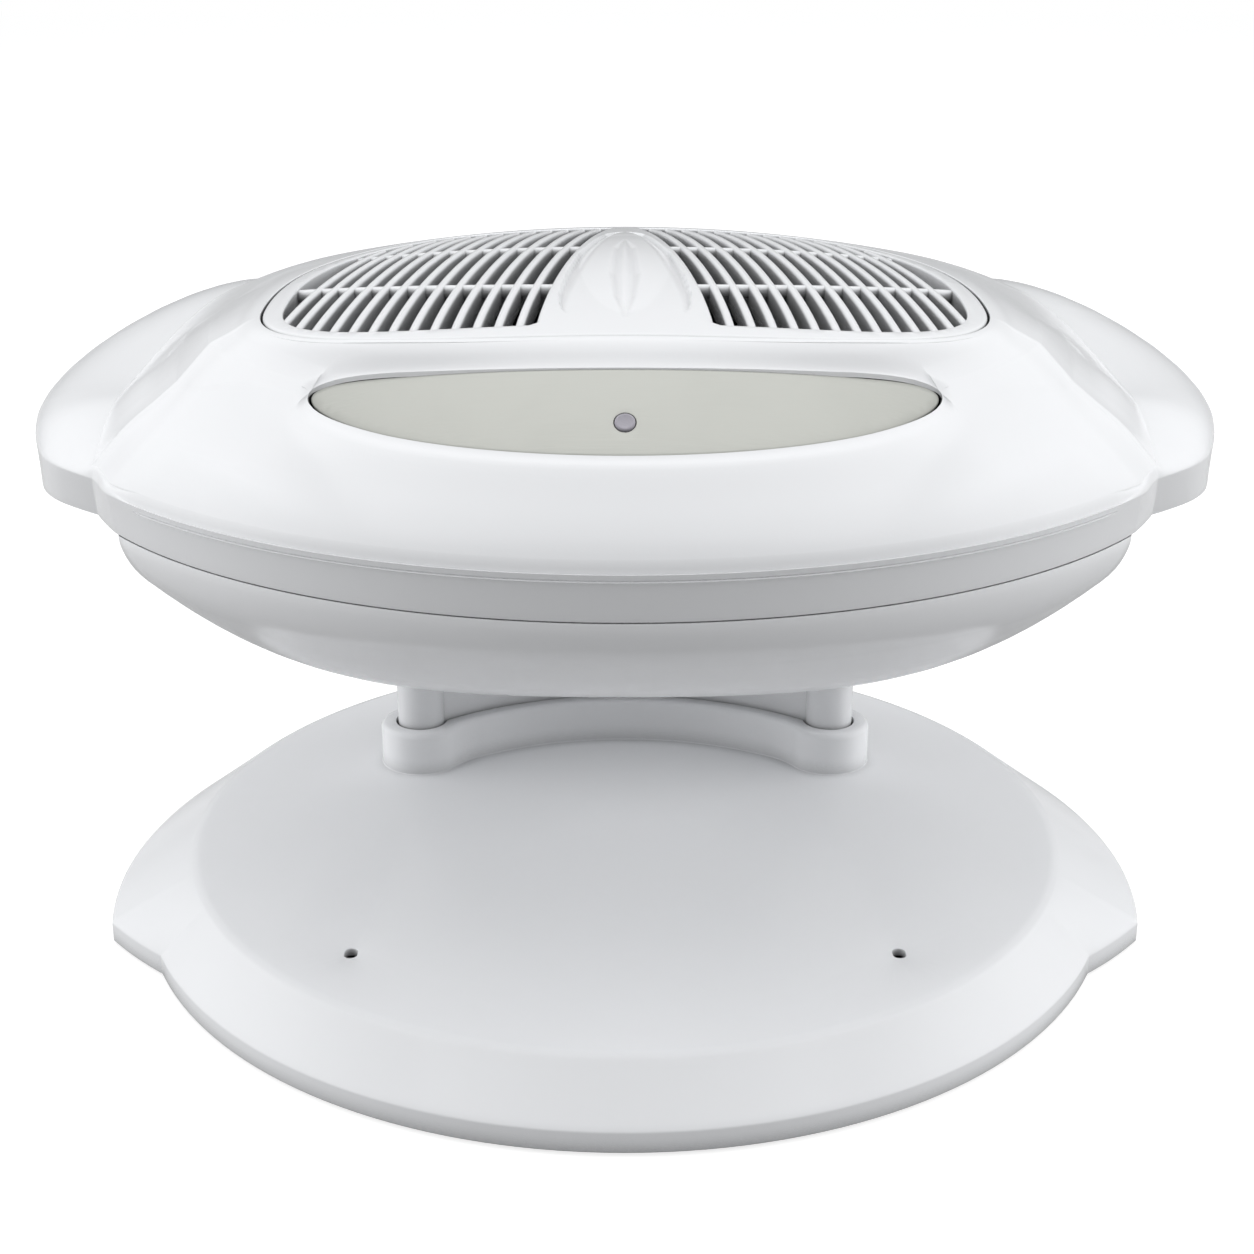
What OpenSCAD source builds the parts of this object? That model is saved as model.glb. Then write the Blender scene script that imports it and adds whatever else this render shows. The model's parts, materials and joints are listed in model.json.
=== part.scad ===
// Fan dryer for painted nails: a round hand tray, a curved column and a domed head with two fans.
// Millimetres. The origin is the centre of the round tray at table level, the front is -Y, up is +Z.

/* [Base] */
// Radius of the round tray
base_r = 156.5; // [150:0.5:165]
// Radius of the flat hand deck
deck_r = 141; // [132:1:143]
// Height of the hand deck above the table
deck_z = 21.9; // [20:0.1:26]
// Height of the top edge of the rim
rim_z = 8.6; // [7:0.1:11]
// Gap between the table and the rim
rim_gap = 1.2; // [0.8:0.1:2]
// Wall thickness of the tray
base_wall = 2.2; // [1.8:0.1:3]
// Angle from the front where each ear of the tray steps out
base_notch_a = 65.4; // [60:0.1:68]
// Angle from the front where each ear of the tray has its full reach
base_ear_a = 74.5; // [72:0.1:80]
// Sideways shift of the circle that bounds each ear of the tray
base_ear_x = 9; // [5:0.5:11]
// Forward shift of the same circle
base_ear_y = 12; // [8:0.5:14]
// Side and front distance of the two hand sensors from the centre
sensor_at = [80.4, 87.9]; // [60:0.1:95]
// Radius of a sensor hole
sensor_r = 1.9; // [1.5:0.1:2.5]
// Extra length of a sensor hole from front to back
sensor_slot = 1.6; // [0:0.1:3]

/* [Column] */
// Side distance and depth of the two round posts
post_at = [72, 48.4]; // [40:0.1:80]
// Radius of a post
post_r = 8.2; // [7:0.1:9]
// Centre of the arc that the column follows, behind the front
arc_y = -31; // [-35:0.5:-25]
// Radius of the front face of the collar
collar_arc_r = 95.8; // [94:0.1:98]
// Distance from the collar's face to the column's face
collar_step = 6; // [4:0.1:7]
// Thickness of the curved wall between the posts
wall_depth = 10; // [8:0.5:12]
// Height of the collar above the deck
collar_h = 15; // [12:0.5:18]
// Height of the column's top end
column_top = 117.8; // [116:0.1:118]

/* [Head] */
// Radius of the front edge of the head
head_r = 172.7; // [168:0.1:176]
// Height of the fold between the top and the rim band
fold_z = 169.4; // [168:0.1:171]
// Height of the seam between the rim band and the bowl
seam_z = 155.9; // [154:0.1:157]
// Radius of that seam
seam_r = 168.1; // [166:0.1:169]
// Wall thickness of the head's shells
shell_t = 2.6; // [2.2:0.1:3]
// Forward shift of the circle that bounds the ears and the back of the head
ear_shift = 6; // [4:0.5:8]
// Radius of that circle
ear_r = 173.5; // [170:0.1:176]
// How far the notch leans back from the fold to the seam, as an angle
notch_lean = 4.2; // [0:0.1:6]
// Angle from the front where the notch before each ear begins
notch_a0 = 63.4; // [62:0.1:65]
// Angle where the notch is deepest and the ear begins
notch_a1 = 69.8; // [69:0.1:71]
// Angle where the ear has its full reach
ear_a = 77.5; // [76:0.1:80]
// Depth of the notch
notch_depth = 2.6; // [2:0.1:4]
// Radius of the long crease between the dome and each ear
crease_r = 450; // [430:5:480]
// Side distance from the middle to that crease
crease_x = 142; // [140:0.5:143]
// Place of its widest point, measured from the centre towards the back
crease_y = -55; // [-60:1:-50]

/* [Dome] */
// Height of the top of the dome
dome_top = 219.4; // [217:0.5:222]
// Place of the top of the dome, measured from the centre towards the back
dome_y = -45; // [-48:0.5:-42]
// Radius of the spherical top of the dome
cap_r = 490; // [470:5:500]
// How the front shoulder curves: larger is squarer
shoulder_pow = 1.65; // [1.5:0.05:1.9]
// Drop of the ear below the dome at the side
ear_drop = 17.5; // [16:0.5:19]

/* [Bowl] */
// Height of the bowl's lowest point
bowl_z = 101.5; // [100:0.5:103]
// Radius of the soft crease round the bowl
bowl_crease_r = 157.7; // [156:0.1:159]
// Height of that crease
bowl_crease_z = 139.7; // [138:0.1:141]
// How flat the bottom of the bowl is: larger is flatter
bowl_pow = 3.64; // [3:0.02:4]
// How much fuller the bowl is at its diagonals
bowl_full = 0.197; // [0:0.001:0.25]
// How much fuller it is from front to back than from side to side
bowl_long = 0.105; // [0:0.001:0.15]
// Side distance from the middle to the flattened flank of the bowl
flank_x = 136; // [134:0.5:138]

/* [Grille] */
// Half width of the air grille
grille_a = 96.5; // [92:0.5:98]
// Reach of the grille to the front and to the back of its widest line
grille_b = [52, 114]; // [50:0.5:116]
// Place of its widest line, measured from the middle towards the back
grille_y = -67; // [-70:0.5:-64]
// Squareness of its front and its back
grille_pow = [3.1, 2.1]; // [1.8:0.1:4]
// Gap round the grille
grille_gap = 0.9; // [0.6:0.1:1.2]
// Number of slots on each side
slot_count = 14; // [12:1:14]
// Width of a slot
slot_w = 2.9; // [2.4:0.1:3.1]
// Side distance of the innermost slot at the front
slot_from = 23.7; // [22:0.1:26]
// Distance from one slot to the next
slot_pitch = 5.4; // [5.2:0.05:5.5]
// How far a slot leans in towards the middle on its way back
slot_lean = 9.5; // [0:0.1:12]
// Width of the smooth border round the slots
slot_border = 5; // [4:0.1:8]
// Places of the two crossbars at the middle of the grille
crossbar_y = [-80, -31]; // [-90:1:-20]
// Height of the smooth ridge between the slots
ridge_rise = 1.6; // [0.8:0.1:2]

/* [Panel] */
// Angle from the front to each tip of the control panel
panel_a = 46; // [44:0.5:47]
// Middle line of the panel between the dome's top (0) and its edge (1)
panel_t = 0.7655; // [0.75:0.0005:0.78]
// How far the tips drop along the same scale
panel_sag = 0.022; // [0.015:0.001:0.03]
// Half height of the panel on the same scale
panel_half = 0.082; // [0.07:0.001:0.09]
// Slope of the panel from the level
panel_slope = 38; // [36:1:40]
// Radius of the button
button_r = 2.5; // [2.3:0.1:3]
// Travel of the button
button_travel = 0.8; // [0.6:0.1:1]

/* [Fans] */
// Side distance and front distance of each fan's axis
fan_at = [46, 42]; // [40:0.5:50]
// Width and height of a fan frame
fan_size = [80, 25]; // [20:1:80]
// Height of the underside of the fans
fan_z = 175; // [164:0.5:176]
// Radius of the rotor over its blades
rotor_r = 36.5; // [35:0.1:37]
// Radius of the rotor's hub
hub_r = 15; // [13:0.5:17]
// Number of blades
blade_count = 7; // [5:1:9]
// Radius of the shaft
shaft_r = 1.5; // [1.2:0.1:2]
// Radial clearance of the shaft in its bearings
shaft_fit = 0.05; // [0.02:0.01:0.1]
// Outer radius of the air duct
duct_r = 39; // [38:0.1:39.5]

/* [Fixings] */
// Radius of a self-tapping screw's shank
screw_r = 1.5; // [1.2:0.1:1.8]
// Radius of a screw's head
screw_head_r = 3; // [2.6:0.1:3.2]
// Height of a screw's head
screw_head_h = 1.8; // [1.5:0.1:2.2]
// Radial clearance round a shank in its pilot hole
pilot_fit = 0.05; // [0.02:0.01:0.1]
// Side and front or back distance of the four screw wells of the head
well_at = [[94, -88], [92, 72]]; // [60:1:110]

/* [Back] */
// Half width of the block that holds the switch and the inlet
back_half = 38; // [36:1:42]
// Lower and upper face of that block
back_zz = [132, 152.8]; // [126:0.1:154]
// Rearmost face of the block
back_y = 170.7; // [169:0.1:172]
// Thickness of the flanges of the switch and the inlet
flange_t = 2; // [1.5:0.1:2.5]
// Side distance of the switch and the inlet from the middle
back_x = 18.5; // [17:0.5:20]
// Angle that the rocker tips each way
rocker_tip = 10; // [8:1:12]

/* [Hidden] */
$fn = 64;
eps = 0.01;

white = [0.93, 0.93, 0.93];
off_white = [0.86, 0.86, 0.87];
silver = [0.74, 0.74, 0.71];
black = [0.12, 0.12, 0.13];
steel = [0.6, 0.6, 0.62];
green = [0.1, 0.35, 0.2];

// ---------- helpers ----------

// Direction of an angle that is 0 at the front and grows towards +X
function dir(a) = [sin(a), -cos(a)];
// The same angle on the +X side, from 0 to 180
function fold(a) = a > 180 ? 360 - a : abs(a);
// Distance from a point along u to the far side of a circle
function reach(from, u, c, r) = let (w = from - c, b = w * u) -b + sqrt(b * b - w * w + r * r);
// Smooth step from 0 at lo to 1 at hi
function ramp(x, lo, hi) = let (t = min(1, max(0, (x - lo) / (hi - lo)))) t * t * (3 - 2 * t);
function mix(p, q, t) = p + (q - p) * t;

// Angles round an outline with a notch on each side, finer at the notch
function half_turn(n0, n1, ear, step) = concat([for (a = [0:step:n0 - step / 2]) a], [n0, mix(n0, n1, 0.5), n1,
    mix(n1, ear, 0.35), mix(n1, ear, 0.7), ear], [for (a = [ear + 3:step:179]) a], [180]);
function full_turn(half) = concat(half, [for (i = [len(half) - 2:-1:1]) 360 - half[i]]);

// Closed solid through rings of equal length, the first capped below and the last above
module skin(rings) {
    n = len(rings[0]);
    m = len(rings);
    sides = [for (j = [0:m - 2], i = [0:n - 1]) let (p = j * n + i, q = j * n + (i + 1) % n)
        each [[p, p + n, q + n], [p, q + n, q]]];
    polyhedron(points = [for (r = rings) each r],
        faces = concat(sides, [[for (i = [0:n - 1]) i]], [[for (i = [n - 1:-1:0]) (m - 1) * n + i]]));
}

// Tube of radius r along a list of points
module lead(path, r, sides) {
    last = len(path) - 1;
    function unit(v) = v / norm(v);
    function along(i) = unit(path[min(i + 1, last)] - path[max(i - 1, 0)]);
    function side(t) = unit(cross(t, abs(t.z) < 0.9 ? [0, 0, 1] : [0, 1, 0]));
    // The cross direction is carried along the path, so that the tube doesn't twist
    function carry(i, s) = let (t = along(i), v = s - (s * t) * t) unit(v);
    function frames(i, s) = i > last ? [] : let (c = carry(i, s)) concat([c], frames(i + 1, c));
    across = frames(0, side(along(0)));
    skin([for (i = [0:last]) let (s = across[i], n = cross(along(i), s))
        [for (k = [0:sides - 1]) path[i] + r * (cos(360 * k / sides) * s + sin(360 * k / sides) * n)]]);
}

// Points of a smooth route through hand-picked points
function smooth(p, steps) = let (last = len(p) - 1) concat([for (i = [0:last - 1], k = [0:steps - 1])
    let (t = k / steps, a = p[max(i - 1, 0)], b = p[i], c = p[i + 1], d = p[min(i + 2, last)])
    0.5 * (2 * b + (c - a) * t + (2 * a - 5 * b + 4 * c - d) * t * t + (3 * b - a - 3 * c + d) * t * t * t)],
    [p[last]]);

// The same thing on the left and on the right
module at_sides(x, y) {
    for (s = [-1, 1]) translate([s * x, y, 0]) children();
}

// A pan-head screw that points up, with its head's underside at the origin
module screw(length, r = screw_r) {
    translate([0, 0, -screw_head_h]) difference() {
        cylinder(h = screw_head_h, r = screw_head_r);
        translate([0, 0, -eps]) for (q = [0, 90]) rotate([0, 0, q])
            translate([-0.4, -1.7, 0]) cube([0.8, 3.4, 1]);
    }
    translate([0, 0, -eps]) cylinder(h = length, r = r);
}

// ---------- outlines and surfaces ----------

base_angles = full_turn(half_turn(base_notch_a - 4, base_notch_a, base_ear_a, 5));
function base_wing(a) = reach([0, 0], dir(a), [base_ear_x, -base_ear_y], base_r);
// Radius of the tray's outline: a circle with an ear on each side
function base_out(a) = a <= base_notch_a ? base_r
    : a <= base_ear_a ? mix(base_r, base_wing(base_ear_a), (a - base_notch_a) / (base_ear_a - base_notch_a))
    : max(base_r, base_wing(a));
function base_ring(inset, z) = [for (a = base_angles) let (p = (base_out(fold(a)) - inset) * dir(a))
    [p.x, p.y, z]];
function deck_ring(r, z) = [for (a = base_angles) let (p = r * dir(a)) [p.x, p.y, z]];

axis = [0, dome_y];
head_angles = full_turn(half_turn(notch_a0, notch_a1, ear_a, 4.5));
function head_front(a) = reach(axis, dir(a), [0, 0], head_r);
function head_ear(a) = reach(axis, dir(a), [0, -ear_shift], ear_r);
// Radius of the fold round the head, measured from the dome's axis
function head_out(a) = a <= notch_a1 ? head_front(a) - notch_depth * ramp(a, notch_a0, notch_a1)
    : a <= ear_a ? mix(head_front(notch_a1) - notch_depth, head_ear(ear_a), (a - notch_a1) / (ear_a - notch_a1))
    : head_ear(a);
// Lower edge of the band: the notch leans back on its way down, and the band tapers in at the front
function lean(a) = notch_lean * ramp(a, 48, 66) * (1 - ramp(a, 88, 125));
function low_front(a) = reach(axis, dir(a + lean(a)), [0, 0], seam_r);
function low_ear(a) = head_ear(a + lean(a)) - mix(0.6, 1.5, ramp(a, 90, 150));
function head_low(a) = a <= notch_a0 ? low_front(a)
    : a <= notch_a1 ? mix(low_front(notch_a0), head_out(notch_a1) - 1.1, (a - notch_a0) / (notch_a1 - notch_a0))
    : a <= ear_a ? mix(head_out(notch_a1) - 1.1, low_ear(ear_a), (a - notch_a1) / (ear_a - notch_a1))
    : low_ear(a);
function low_ring(inset, z) = [for (a = head_angles) let (f = fold(a),
    p = axis + (head_low(f) - inset) * dir(a <= 180 ? a + lean(f) : a - lean(f))) [p.x, p.y, z]];
// The edge of the dome: just inside the fold at the front, the crease at the ears, a round edge at the back
edge_front = 1.5;
edge_back = 10;
// The crease is an arc of a large circle on each side
function crease(a) = reach(axis, dir(a), [crease_x - crease_r, crease_y], crease_r);
function rim(a) = min(crease(a), head_out(a) - mix(edge_front, edge_back, ramp(a, 95, 140)));
function cap_z(d) = dome_top - cap_r + sqrt(cap_r * cap_r - d * d);
// How far an ear lies below the dome, from front to back
function ear_fall(y) = ear_drop * (1 - ramp(y, -50, 85)) + 6 * (1 - ramp(y, -97, -55));
function rim_top(a) = a <= notch_a1 ? fold_z + 1.8 : cap_z(rim(a)) - ear_fall(dome_y - cos(a) * rim(a));
// Share of the way out where the dome's shoulder begins to fall
function shoulder_t(a) = mix(0.56, 0.68, ramp(a, 30, 80));

// Point of the dome at an angle and a share t of the way from its top to its edge
function dome(a, t) = let (f = fold(a), e = rim(f), t0 = shoulder_t(f), fall = cap_z(e) - rim_top(f),
        s = max(0, (t - t0) / (1 - t0)), p = axis + e * t * dir(a))
    [p.x, p.y, cap_z(e * t) - fall * pow(s, shoulder_pow)];
// Point of the ear or of the rounded edge, at a share w of the way from the dome's edge to the fold
function brim(a, w) = let (f = fold(a), n = f <= notch_a1 ? 2 : mix(1.3, 2, ramp(f, notch_a1, 92)),
        p = axis + mix(rim(f), head_out(f), w) * dir(a))
    [p.x, p.y, fold_z + (rim_top(f) - fold_z) * pow(max(0, 1 - pow(w, n)), 1 / n)];
// Such a point moved towards the dome's axis by r and down by z, for the inside of the wall
function inward(a, p, r, z) = let (u = dir(a)) [p.x - r * u.x, p.y - r * u.y, p.z - z];
function head_ring(a, r, z) = let (p = axis + r * dir(a)) [p.x, p.y, z];

// Edge of the bowl at the seam: round at the front and the back, flattened at the flanks
bowl_angles = [for (a = [0:4:356]) a];
function bowl_edge(a) = min(seam_r, reach([0, 0], dir(a), [flank_x - crease_r, crease_y], crease_r),
    reach([0, 0], dir(a), [0, -ear_shift], head_r - 5));
function bowl_r(a, r) = bowl_edge(fold(a)) / seam_r * r
    * (1 + (1 - r / seam_r) * (bowl_long * cos(2 * a) - bowl_full * cos(4 * a)));
function bowl_ring(r, z, inset) = [for (a = bowl_angles) let (p = (bowl_r(a, r) - inset) * dir(a))
    [p.x, p.y, z]];
// The steep flank above the bowl's crease, and the belly below it
function flank_r(u) = bowl_crease_r + (seam_r - bowl_crease_r) * (1 - u * u);
function flank_z(u) = seam_z - (seam_z - bowl_crease_z) * u;
function belly_z(s) = bowl_z + (bowl_crease_z - bowl_z) * pow(s, bowl_pow);
belly = [0.12, 0.3, 0.46, 0.6, 0.72, 0.82, 0.91, 1];
flank = [0.66, 0.33, 0];
function bowl_rings(inset) = concat([for (s = belly) bowl_ring(bowl_crease_r * s, belly_z(s), inset * s)],
    [for (u = flank) bowl_ring(flank_r(u), flank_z(u), inset)]);
// The bowl as a full solid, a little smaller than its outside, for cutting what stands on its floor
module bowl_fill(inset) {
    translate([0, 0, inset]) skin(concat(bowl_rings(inset), [bowl_ring(seam_r, seam_z + 3, inset)]));
}

// Outline of the grille opening
function grille_point(g, inset) = let (s = sin(g), c = cos(g), half = c < 0 ? 1 : 0,
        n = grille_pow[half], b = grille_b[half] - inset)
    [(grille_a - inset) * sign(s) * pow(abs(s), 2 / n), grille_y - b * sign(c) * pow(abs(c), 2 / n)];
module grille_plan(inset) {
    polygon([for (g = [0:5:355]) grille_point(g, inset)]);
}

// Radius of the front face of the curved wall, and what is left of it beside the cable way
wall_r = collar_arc_r + collar_step;
column_skin = 2.2;
// The dog-bone outline of the column, grown by g
module column_plan(g) {
    at_sides(post_at.x, post_at.y) circle(r = post_r + g);
    intersection() {
        translate([0, arc_y]) difference() {
            circle(r = wall_r + wall_depth + g, $fn = 128);
            circle(r = wall_r - g, $fn = 128);
        }
        // The wall ends at the middle of each post
        polygon([[0, arc_y], 2 * [-post_at.x, post_at.y] - [0, arc_y], 2 * post_at - [0, arc_y]]);
    }
}

// ---------- base ----------

// Height of the floor of the collar's pocket
tray_floor = 24;
boss_r = 4.5;
// Gap between the column and its two pockets
column_fit = 0.4;
// Radii of the holes that take a screw's shank: tight in a boss, loose in what is clamped
pilot_r = screw_r + pilot_fit;
clear_r = screw_r + 0.3;
base_screw_at = [for (a = [0, 72, 144, 216, 288]) [118 * sin(a), 118 * cos(a)]];

module base_tray() {
    under = deck_z - base_wall;
    color(white) difference() {
        union() {
            skin([deck_ring(20, under), deck_ring(deck_r - 1.5, under), base_ring(base_wall + 0.8, rim_z - 1.8),
                base_ring(base_wall, rim_z - 3), base_ring(base_wall, rim_gap), base_ring(0, rim_gap),
                base_ring(0, rim_z - 1), base_ring(0.9, rim_z), deck_ring(deck_r + 1.2, deck_z - 0.7),
                deck_ring(deck_r - 1, deck_z), deck_ring(20, deck_z)]);
            // Collar round the foot of the column
            translate([0, 0, under + eps]) linear_extrude(deck_z - under + collar_h) column_plan(collar_step);
            // Bosses for the screws of the base plate and of the column
            for (p = base_screw_at) translate([p.x, p.y, 4]) cylinder(h = under - 4 + eps, r = boss_r);
            at_sides(post_at.x, post_at.y) translate([0, 0, 8]) cylinder(h = under - 8 + eps, r = post_r);
            // Sleeves behind the sensor holes
            at_sides(sensor_at.x, -sensor_at.y) translate([0, 0, under - 3]) cylinder(h = 3 + eps, r = 6.5);
        }
        // Pocket of the collar
        translate([0, 0, tray_floor]) linear_extrude(30) column_plan(column_fit);
        // Way for the sensor leads
        translate([-14, post_at.y + 22, under - 1]) cube([28, 10, 8]);
        for (p = base_screw_at) translate([p.x, p.y, 3]) cylinder(h = 12, r = pilot_r);
        at_sides(post_at.x, post_at.y) {
            translate([0, 0, 7]) cylinder(h = 9, r = screw_head_r + 0.8);
            translate([0, 0, 7]) cylinder(h = 25, r = clear_r);
        }
        at_sides(sensor_at.x, -sensor_at.y) {
            for (s = [-1, 1]) translate([0, s * sensor_slot / 2, 0]) cylinder(h = 40, r = sensor_r);
            translate([-sensor_r, -sensor_slot / 2, 0]) cube([2 * sensor_r, sensor_slot, 40]);
            translate([0, 0, 10]) cylinder(h = under - 10 - 1.5, r = 4);
        }
    }
}

plate_t = 2.4;
foot_at = [[0, -128], [-112, -70], [112, -70], [-100, 88], [100, 88]];
foot_r = 8;
module base_plate() {
    color(off_white) difference() {
        union() {
            translate([0, 0, rim_gap]) linear_extrude(plate_t)
                polygon([for (a = base_angles) (base_out(fold(a)) - base_wall - 0.4) * dir(a)]);
            for (p = foot_at) translate([p.x, p.y, rim_gap + eps]) cylinder(h = plate_t + 1.2, r = foot_r + 2);
        }
        for (p = base_screw_at) translate([p.x, p.y, 0]) {
            cylinder(h = 10, r = clear_r);
            cylinder(h = rim_gap + 1, r = screw_head_r + 0.4);
        }
        for (p = foot_at) translate([p.x, p.y, 0]) cylinder(h = rim_gap + 1.8, r = foot_r + 0.1);
        // Access holes of the column screws
        at_sides(post_at.x, post_at.y) cylinder(h = 10, r = screw_head_r + 1.4);
    }
}

module rubber_feet() {
    color(black) for (p = foot_at) translate([p.x, p.y, 0]) {
        cylinder(h = 0.6 + eps, r1 = foot_r - 0.7, r2 = foot_r);
        translate([0, 0, 0.6]) cylinder(h = rim_gap + 1.2 - eps, r = foot_r);
    }
}

module base_screws() {
    color(steel) for (p = base_screw_at) translate([p.x, p.y, rim_gap + 1]) screw(10);
}

// A hand sensor: two small domed diodes side by side on a board behind its hole
module hand_sensor(s) {
    at = [s * sensor_at.x, -sensor_at.y];
    top = deck_z - base_wall - 1.6;
    translate([at.x, at.y, 0]) {
        color(black) translate([0, 0, top - 3.4]) cylinder(h = 3.2, r = 3.8);
        color(black) translate([0, 0, top - 0.3]) cylinder(h = 1.2, r = 1.6);
        color(green) translate([-5.5, -6, top - 5]) cube([11, 12, 1.6]);
    }
}
module hand_sensor_left() { hand_sensor(-1); }
module hand_sensor_right() { hand_sensor(1); }

// Hand-picked route of a sensor lead: under the deck, up inside the column and into the head
lead_route = [[80, -86, 11.7], [78, -76, 10.5], [70, -58, 8], [58, -30, 8], [36, 12, 8], [16, 52, 8],
    [6, 70, 11], [4, 75, 22], [4, 76, 40], [4, 76, 70], [4, 76, 100], [4, 76, 118], [6, 80, 123], [10, 84, 124]];
lead_r = 1.3;
module sensor_lead(s) {
    color(black) lead(smooth([for (p = lead_route) [s * p.x, p.y, p.z]], 3), lead_r, 8);
}
module sensor_lead_left() { sensor_lead(-1); }
module sensor_lead_right() { sensor_lead(1); }

// ---------- column ----------

module column() {
    color(white) difference() {
        translate([0, 0, tray_floor + 0.1]) linear_extrude(column_top - tray_floor - 0.1) column_plan(0);
        at_sides(post_at.x, post_at.y) translate([0, 0, tray_floor - 1]) {
            cylinder(h = 24, r = pilot_r);
            translate([0, 0, column_top - tray_floor - 20]) cylinder(h = 24, r = pilot_r);
        }
        // Cable way inside the curved wall
        intersection() {
            translate([0, arc_y, tray_floor - 1]) difference() {
                cylinder(h = 100, r = wall_r + wall_depth - column_skin, $fn = 128);
                translate([0, 0, -1]) cylinder(h = 102, r = wall_r + column_skin, $fn = 128);
            }
            translate([-40, 0, 0]) cube([80, 120, 130]);
        }
    }
}

// Height of the column's socket in the bowl
socket_top = 118;
module column_screws() {
    color(steel) at_sides(post_at.x, post_at.y) {
        translate([0, 0, 16]) screw(22);
        translate([0, 0, socket_top + 3]) mirror([0, 0, 1]) screw(16);
    }
}

// ---------- head shells ----------

// Radius of the air outlets, and the height of the seats they rest on
outlet_r = 33;
outlet_seat = 112.4;
module fan_places() {
    for (s = [-1, 1]) translate([s * fan_at.x, -fan_at.y, 0]) children();
}
module well_places() {
    for (p = well_at, s = [-1, 1]) translate([s * p.x, p.y, 0]) children();
}
// Screw wells: their outer radius and the height where the heads of the screws rest
well_r = 5.6;
well_seat = 140;

module lower_shell() {
    color(white) difference() {
        union() {
            skin(concat(bowl_rings(0),
                [for (i = [len(flank) - 1:-1:0]) bowl_ring(flank_r(flank[i]), flank_z(flank[i]), shell_t)],
                [for (i = [len(belly) - 1:-1:0]) bowl_ring(bowl_crease_r * belly[i],
                    belly_z(belly[i]) + shell_t * mix(1, 0.6, belly[i]), shell_t * belly[i])]));
            // Tongue inside the band and floor of the ears
            translate([0, 0, seam_z - 1]) linear_extrude(2.8) difference() {
                polygon([for (p = low_ring(shell_t + 0.6, 0)) [p.x, p.y]]);
                polygon([for (p = bowl_ring(seam_r, 0, shell_t + 2)) [p.x, p.y]]);
            }
            // Rib that joins the tongue to the bowl's wall
            translate([0, 0, seam_z - 6]) linear_extrude(5.5) difference() {
                polygon([for (p = bowl_ring(seam_r, 0, shell_t - 0.7)) [p.x, p.y]]);
                polygon([for (p = bowl_ring(seam_r, 0, shell_t + 2)) [p.x, p.y]]);
            }
            // What stands on the floor: seats of the outlets, socket, screw wells and board standoffs
            intersection() {
                union() {
                    fan_places() cylinder(h = outlet_seat, r = 38.5);
                    linear_extrude(socket_top + 3) column_plan(3);
                    well_places() cylinder(h = seam_z + 1.5, r = well_r);
                    for (p = board_holes) translate([p.x, p.y, 0]) cylinder(h = board_z, r = 3);
                }
                bowl_fill(0.5);
            }
            back_block(0);
        }
        back_block(shell_t);
        fan_places() cylinder(h = 130, r = outlet_r + 0.4);
        // Socket of the column, cable way and screw holes
        linear_extrude(socket_top) column_plan(column_fit);
        translate([-12, post_at.y + 22, socket_top - 1]) cube([24, 10, 8]);
        at_sides(post_at.x, post_at.y) cylinder(h = 130, r = clear_r);
        well_places() {
            cylinder(h = well_seat, r = screw_head_r + 0.6);
            cylinder(h = 170, r = clear_r);
        }
        for (p = board_holes) translate([p.x, p.y, board_z - 6]) cylinder(h = 10, r = 1);
        // Windows of the switch and the inlet
        translate([-back_x - rocker_hole.x / 2, back_y - 6, back_mid - rocker_hole.y / 2])
            cube([rocker_hole.x, 10, rocker_hole.y]);
        translate([back_x - inlet_hole.x / 2, back_y - 6, back_mid - inlet_hole.y / 2])
            cube([inlet_hole.x, 10, inlet_hole.y]);
    }
}

// Block behind the bowl for the switch and the inlet, with rounded corners
back_mid = (back_zz[0] + back_zz[1]) / 2;
back_round = 9;
rocker_hole = [21, 13];
inlet_hole = [25, 15];
module back_block(inset) {
    front = inset > 0 ? 126 : 130;
    half = back_half - inset;
    round = back_round - inset;
    flat = back_half - back_round;
    translate([0, 0, back_zz[0] + inset]) linear_extrude(back_zz[1] - back_zz[0] - 2 * inset) {
        translate([-half, front]) square([2 * half, back_y - back_round - front]);
        translate([-flat, front]) square([2 * flat, back_y - inset - front]);
        at_sides(flat, back_y - back_round) circle(r = round);
    }
}

// Heights where the bosses end inside the dome's wall
well_top = [205.2, 194.4];

// Layer that follows the dome's spherical top between two depths
module cap_layer(from, to) {
    translate([0, dome_y, dome_top - cap_r]) difference() {
        sphere(r = cap_r - from, $fn = 128);
        sphere(r = cap_r - to, $fn = 128);
    }
}

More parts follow.
